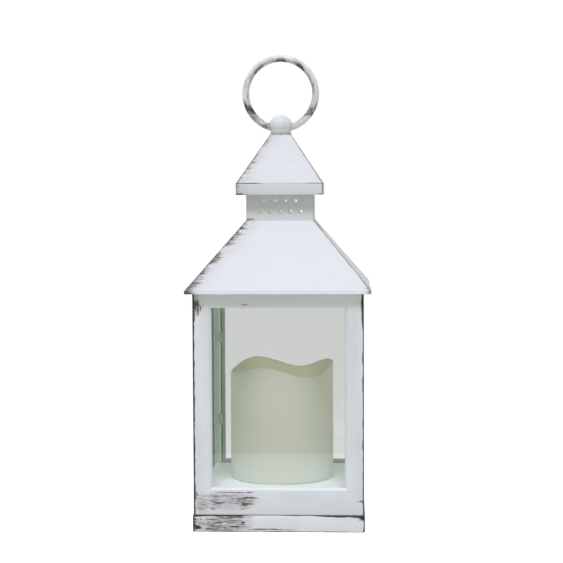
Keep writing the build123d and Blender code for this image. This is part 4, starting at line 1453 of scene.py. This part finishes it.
class LANTERN_OT_stage(bpy.types.Operator):
    """Set the ground, the light and the camera"""

    bl_idname = "lantern.stage"
    bl_label = "Stage"

    def execute(self, context):
        sizes, colours, stage = settings()
        self.ground(stage, colours, PLINTH_HIGH.x - 2 * sizes.corner_radius)
        self.light(stage)
        self.camera(stage)
        return {"FINISHED"}

    def ground(self, stage, colours, opening):
        """Pale ground, open under the lantern so that views from below show its underside."""
        bm = bmesh.new()
        square_turn(bm, ((stage.ground_half, 0), (opening, 0)), closed=False)
        close(bm)
        for face in bm.faces:
            if face.normal.z < 0:
                face.normal_flip()
        mesh = bpy.data.meshes.new("ground")
        bm.to_mesh(mesh)
        bm.free()
        mesh.materials.append(pale_ground(colours, stage))
        made = bpy.data.objects.new("ground", mesh)
        bpy.context.scene.collection.objects.link(made)

    def light(self, stage):
        """Even white surroundings and one soft light above the front."""
        scene = bpy.context.scene
        scene.view_settings.view_transform = "Standard"
        world = bpy.data.worlds.new("white_surroundings")
        scene.world = world
        world.use_nodes = True
        nodes = Nodes(world.node_tree)
        backdrop = world.node_tree.nodes["Background"]
        nodes.feed(backdrop.inputs["Color"], WHITE)
        nodes.feed(backdrop.inputs["Strength"], stage.backdrop)
        by_sight = nodes.node("ShaderNodeLightPath", "Is Camera Ray")
        by_mirror = nodes.node("ShaderNodeLightPath", "Is Singular Ray")
        strength = (stage.room_mirrored - stage.sky) * by_mirror + stage.sky
        tint = {"Color": (*stage.sky_colour, 1), "Strength": strength}
        sky = nodes.node("ShaderNodeBackground", 0, tint)
        nodes.show(nodes.mix(by_sight, sky, Value(nodes, backdrop.outputs[0])))
        lamp = bpy.data.lights.new("soft_key", "SUN")
        lamp.angle = stage.key_spread
        lamp.energy = stage.key_strength
        lamp.color = stage.key_colour
        made = bpy.data.objects.new("soft_key", lamp)
        away = Vector((
            math.sin(stage.key_azimuth) * math.cos(stage.key_elevation),
            -math.cos(stage.key_azimuth) * math.cos(stage.key_elevation),
            math.sin(stage.key_elevation),
        ))
        made.location = away
        made.rotation_euler = away.to_track_quat("Z", "Y").to_euler()
        scene.collection.objects.link(made)

    def camera(self, stage):
        """Camera at the photograph's viewing angle."""
        scene = bpy.context.scene
        data = bpy.data.cameras.new("camera")
        data.sensor_width = 36.0
        data.lens = stage.focus_pixels / stage.picture_pixels * data.sensor_width
        data.clip_end = 50.0
        made = bpy.data.objects.new("camera", data)
        across = math.sin(stage.azimuth) * stage.distance
        back = -math.cos(stage.azimuth) * stage.distance
        made.matrix_world = (
            Matrix.Translation((across, back, stage.height))
            @ Matrix.Rotation(stage.azimuth, 4, "Z")
            @ Matrix.Rotation(QUARTER - stage.pitch, 4, "X")
            @ Matrix.Rotation(stage.roll, 4, "Z")
        )
        scene.collection.objects.link(made)
        scene.camera = made


OPERATORS = (
    LANTERN_OT_stage,
    LANTERN_OT_frames,
    LANTERN_OT_panes,
    LANTERN_OT_roof,
    LANTERN_OT_collar,
    LANTERN_OT_cap,
    LANTERN_OT_knob,
    LANTERN_OT_ring,
    LANTERN_OT_base,
    LANTERN_OT_candle,
    LANTERN_OT_fittings,
)


class LANTERN_PT_panel(bpy.types.Panel):
    """Panel in the sidebar that lists the lantern's pieces"""

    bl_label = "Candle Lantern"
    bl_idname = "LANTERN_PT_panel"
    bl_space_type = "VIEW_3D"
    bl_region_type = "UI"
    bl_category = "Lantern"

    def draw(self, context):
        for operator in OPERATORS:
            self.layout.operator(operator.bl_idname)
        for group in settings():
            column = self.layout.column()
            for name in group.__annotations__:
                column.prop(group, name)


CLASSES = (LanternSizes, LanternColours, StageSettings, *OPERATORS, LANTERN_PT_panel)


def register():
    for kind in CLASSES:
        bpy.utils.register_class(kind)
    bpy.types.Scene.lantern_sizes = PointerProperty(type=LanternSizes)
    bpy.types.Scene.lantern_colours = PointerProperty(type=LanternColours)
    bpy.types.Scene.lantern_stage = PointerProperty(type=StageSettings)


def unregister():
    del bpy.types.Scene.lantern_stage
    del bpy.types.Scene.lantern_colours
    del bpy.types.Scene.lantern_sizes
    for kind in reversed(CLASSES):
        bpy.utils.unregister_class(kind)


def main():
    """Registers the add-on and makes every piece in order."""
    register()
    for operator in OPERATORS:
        group, name = operator.bl_idname.split(".")
        getattr(getattr(bpy.ops, group), name)()


if __name__ == "__main__":
    main()
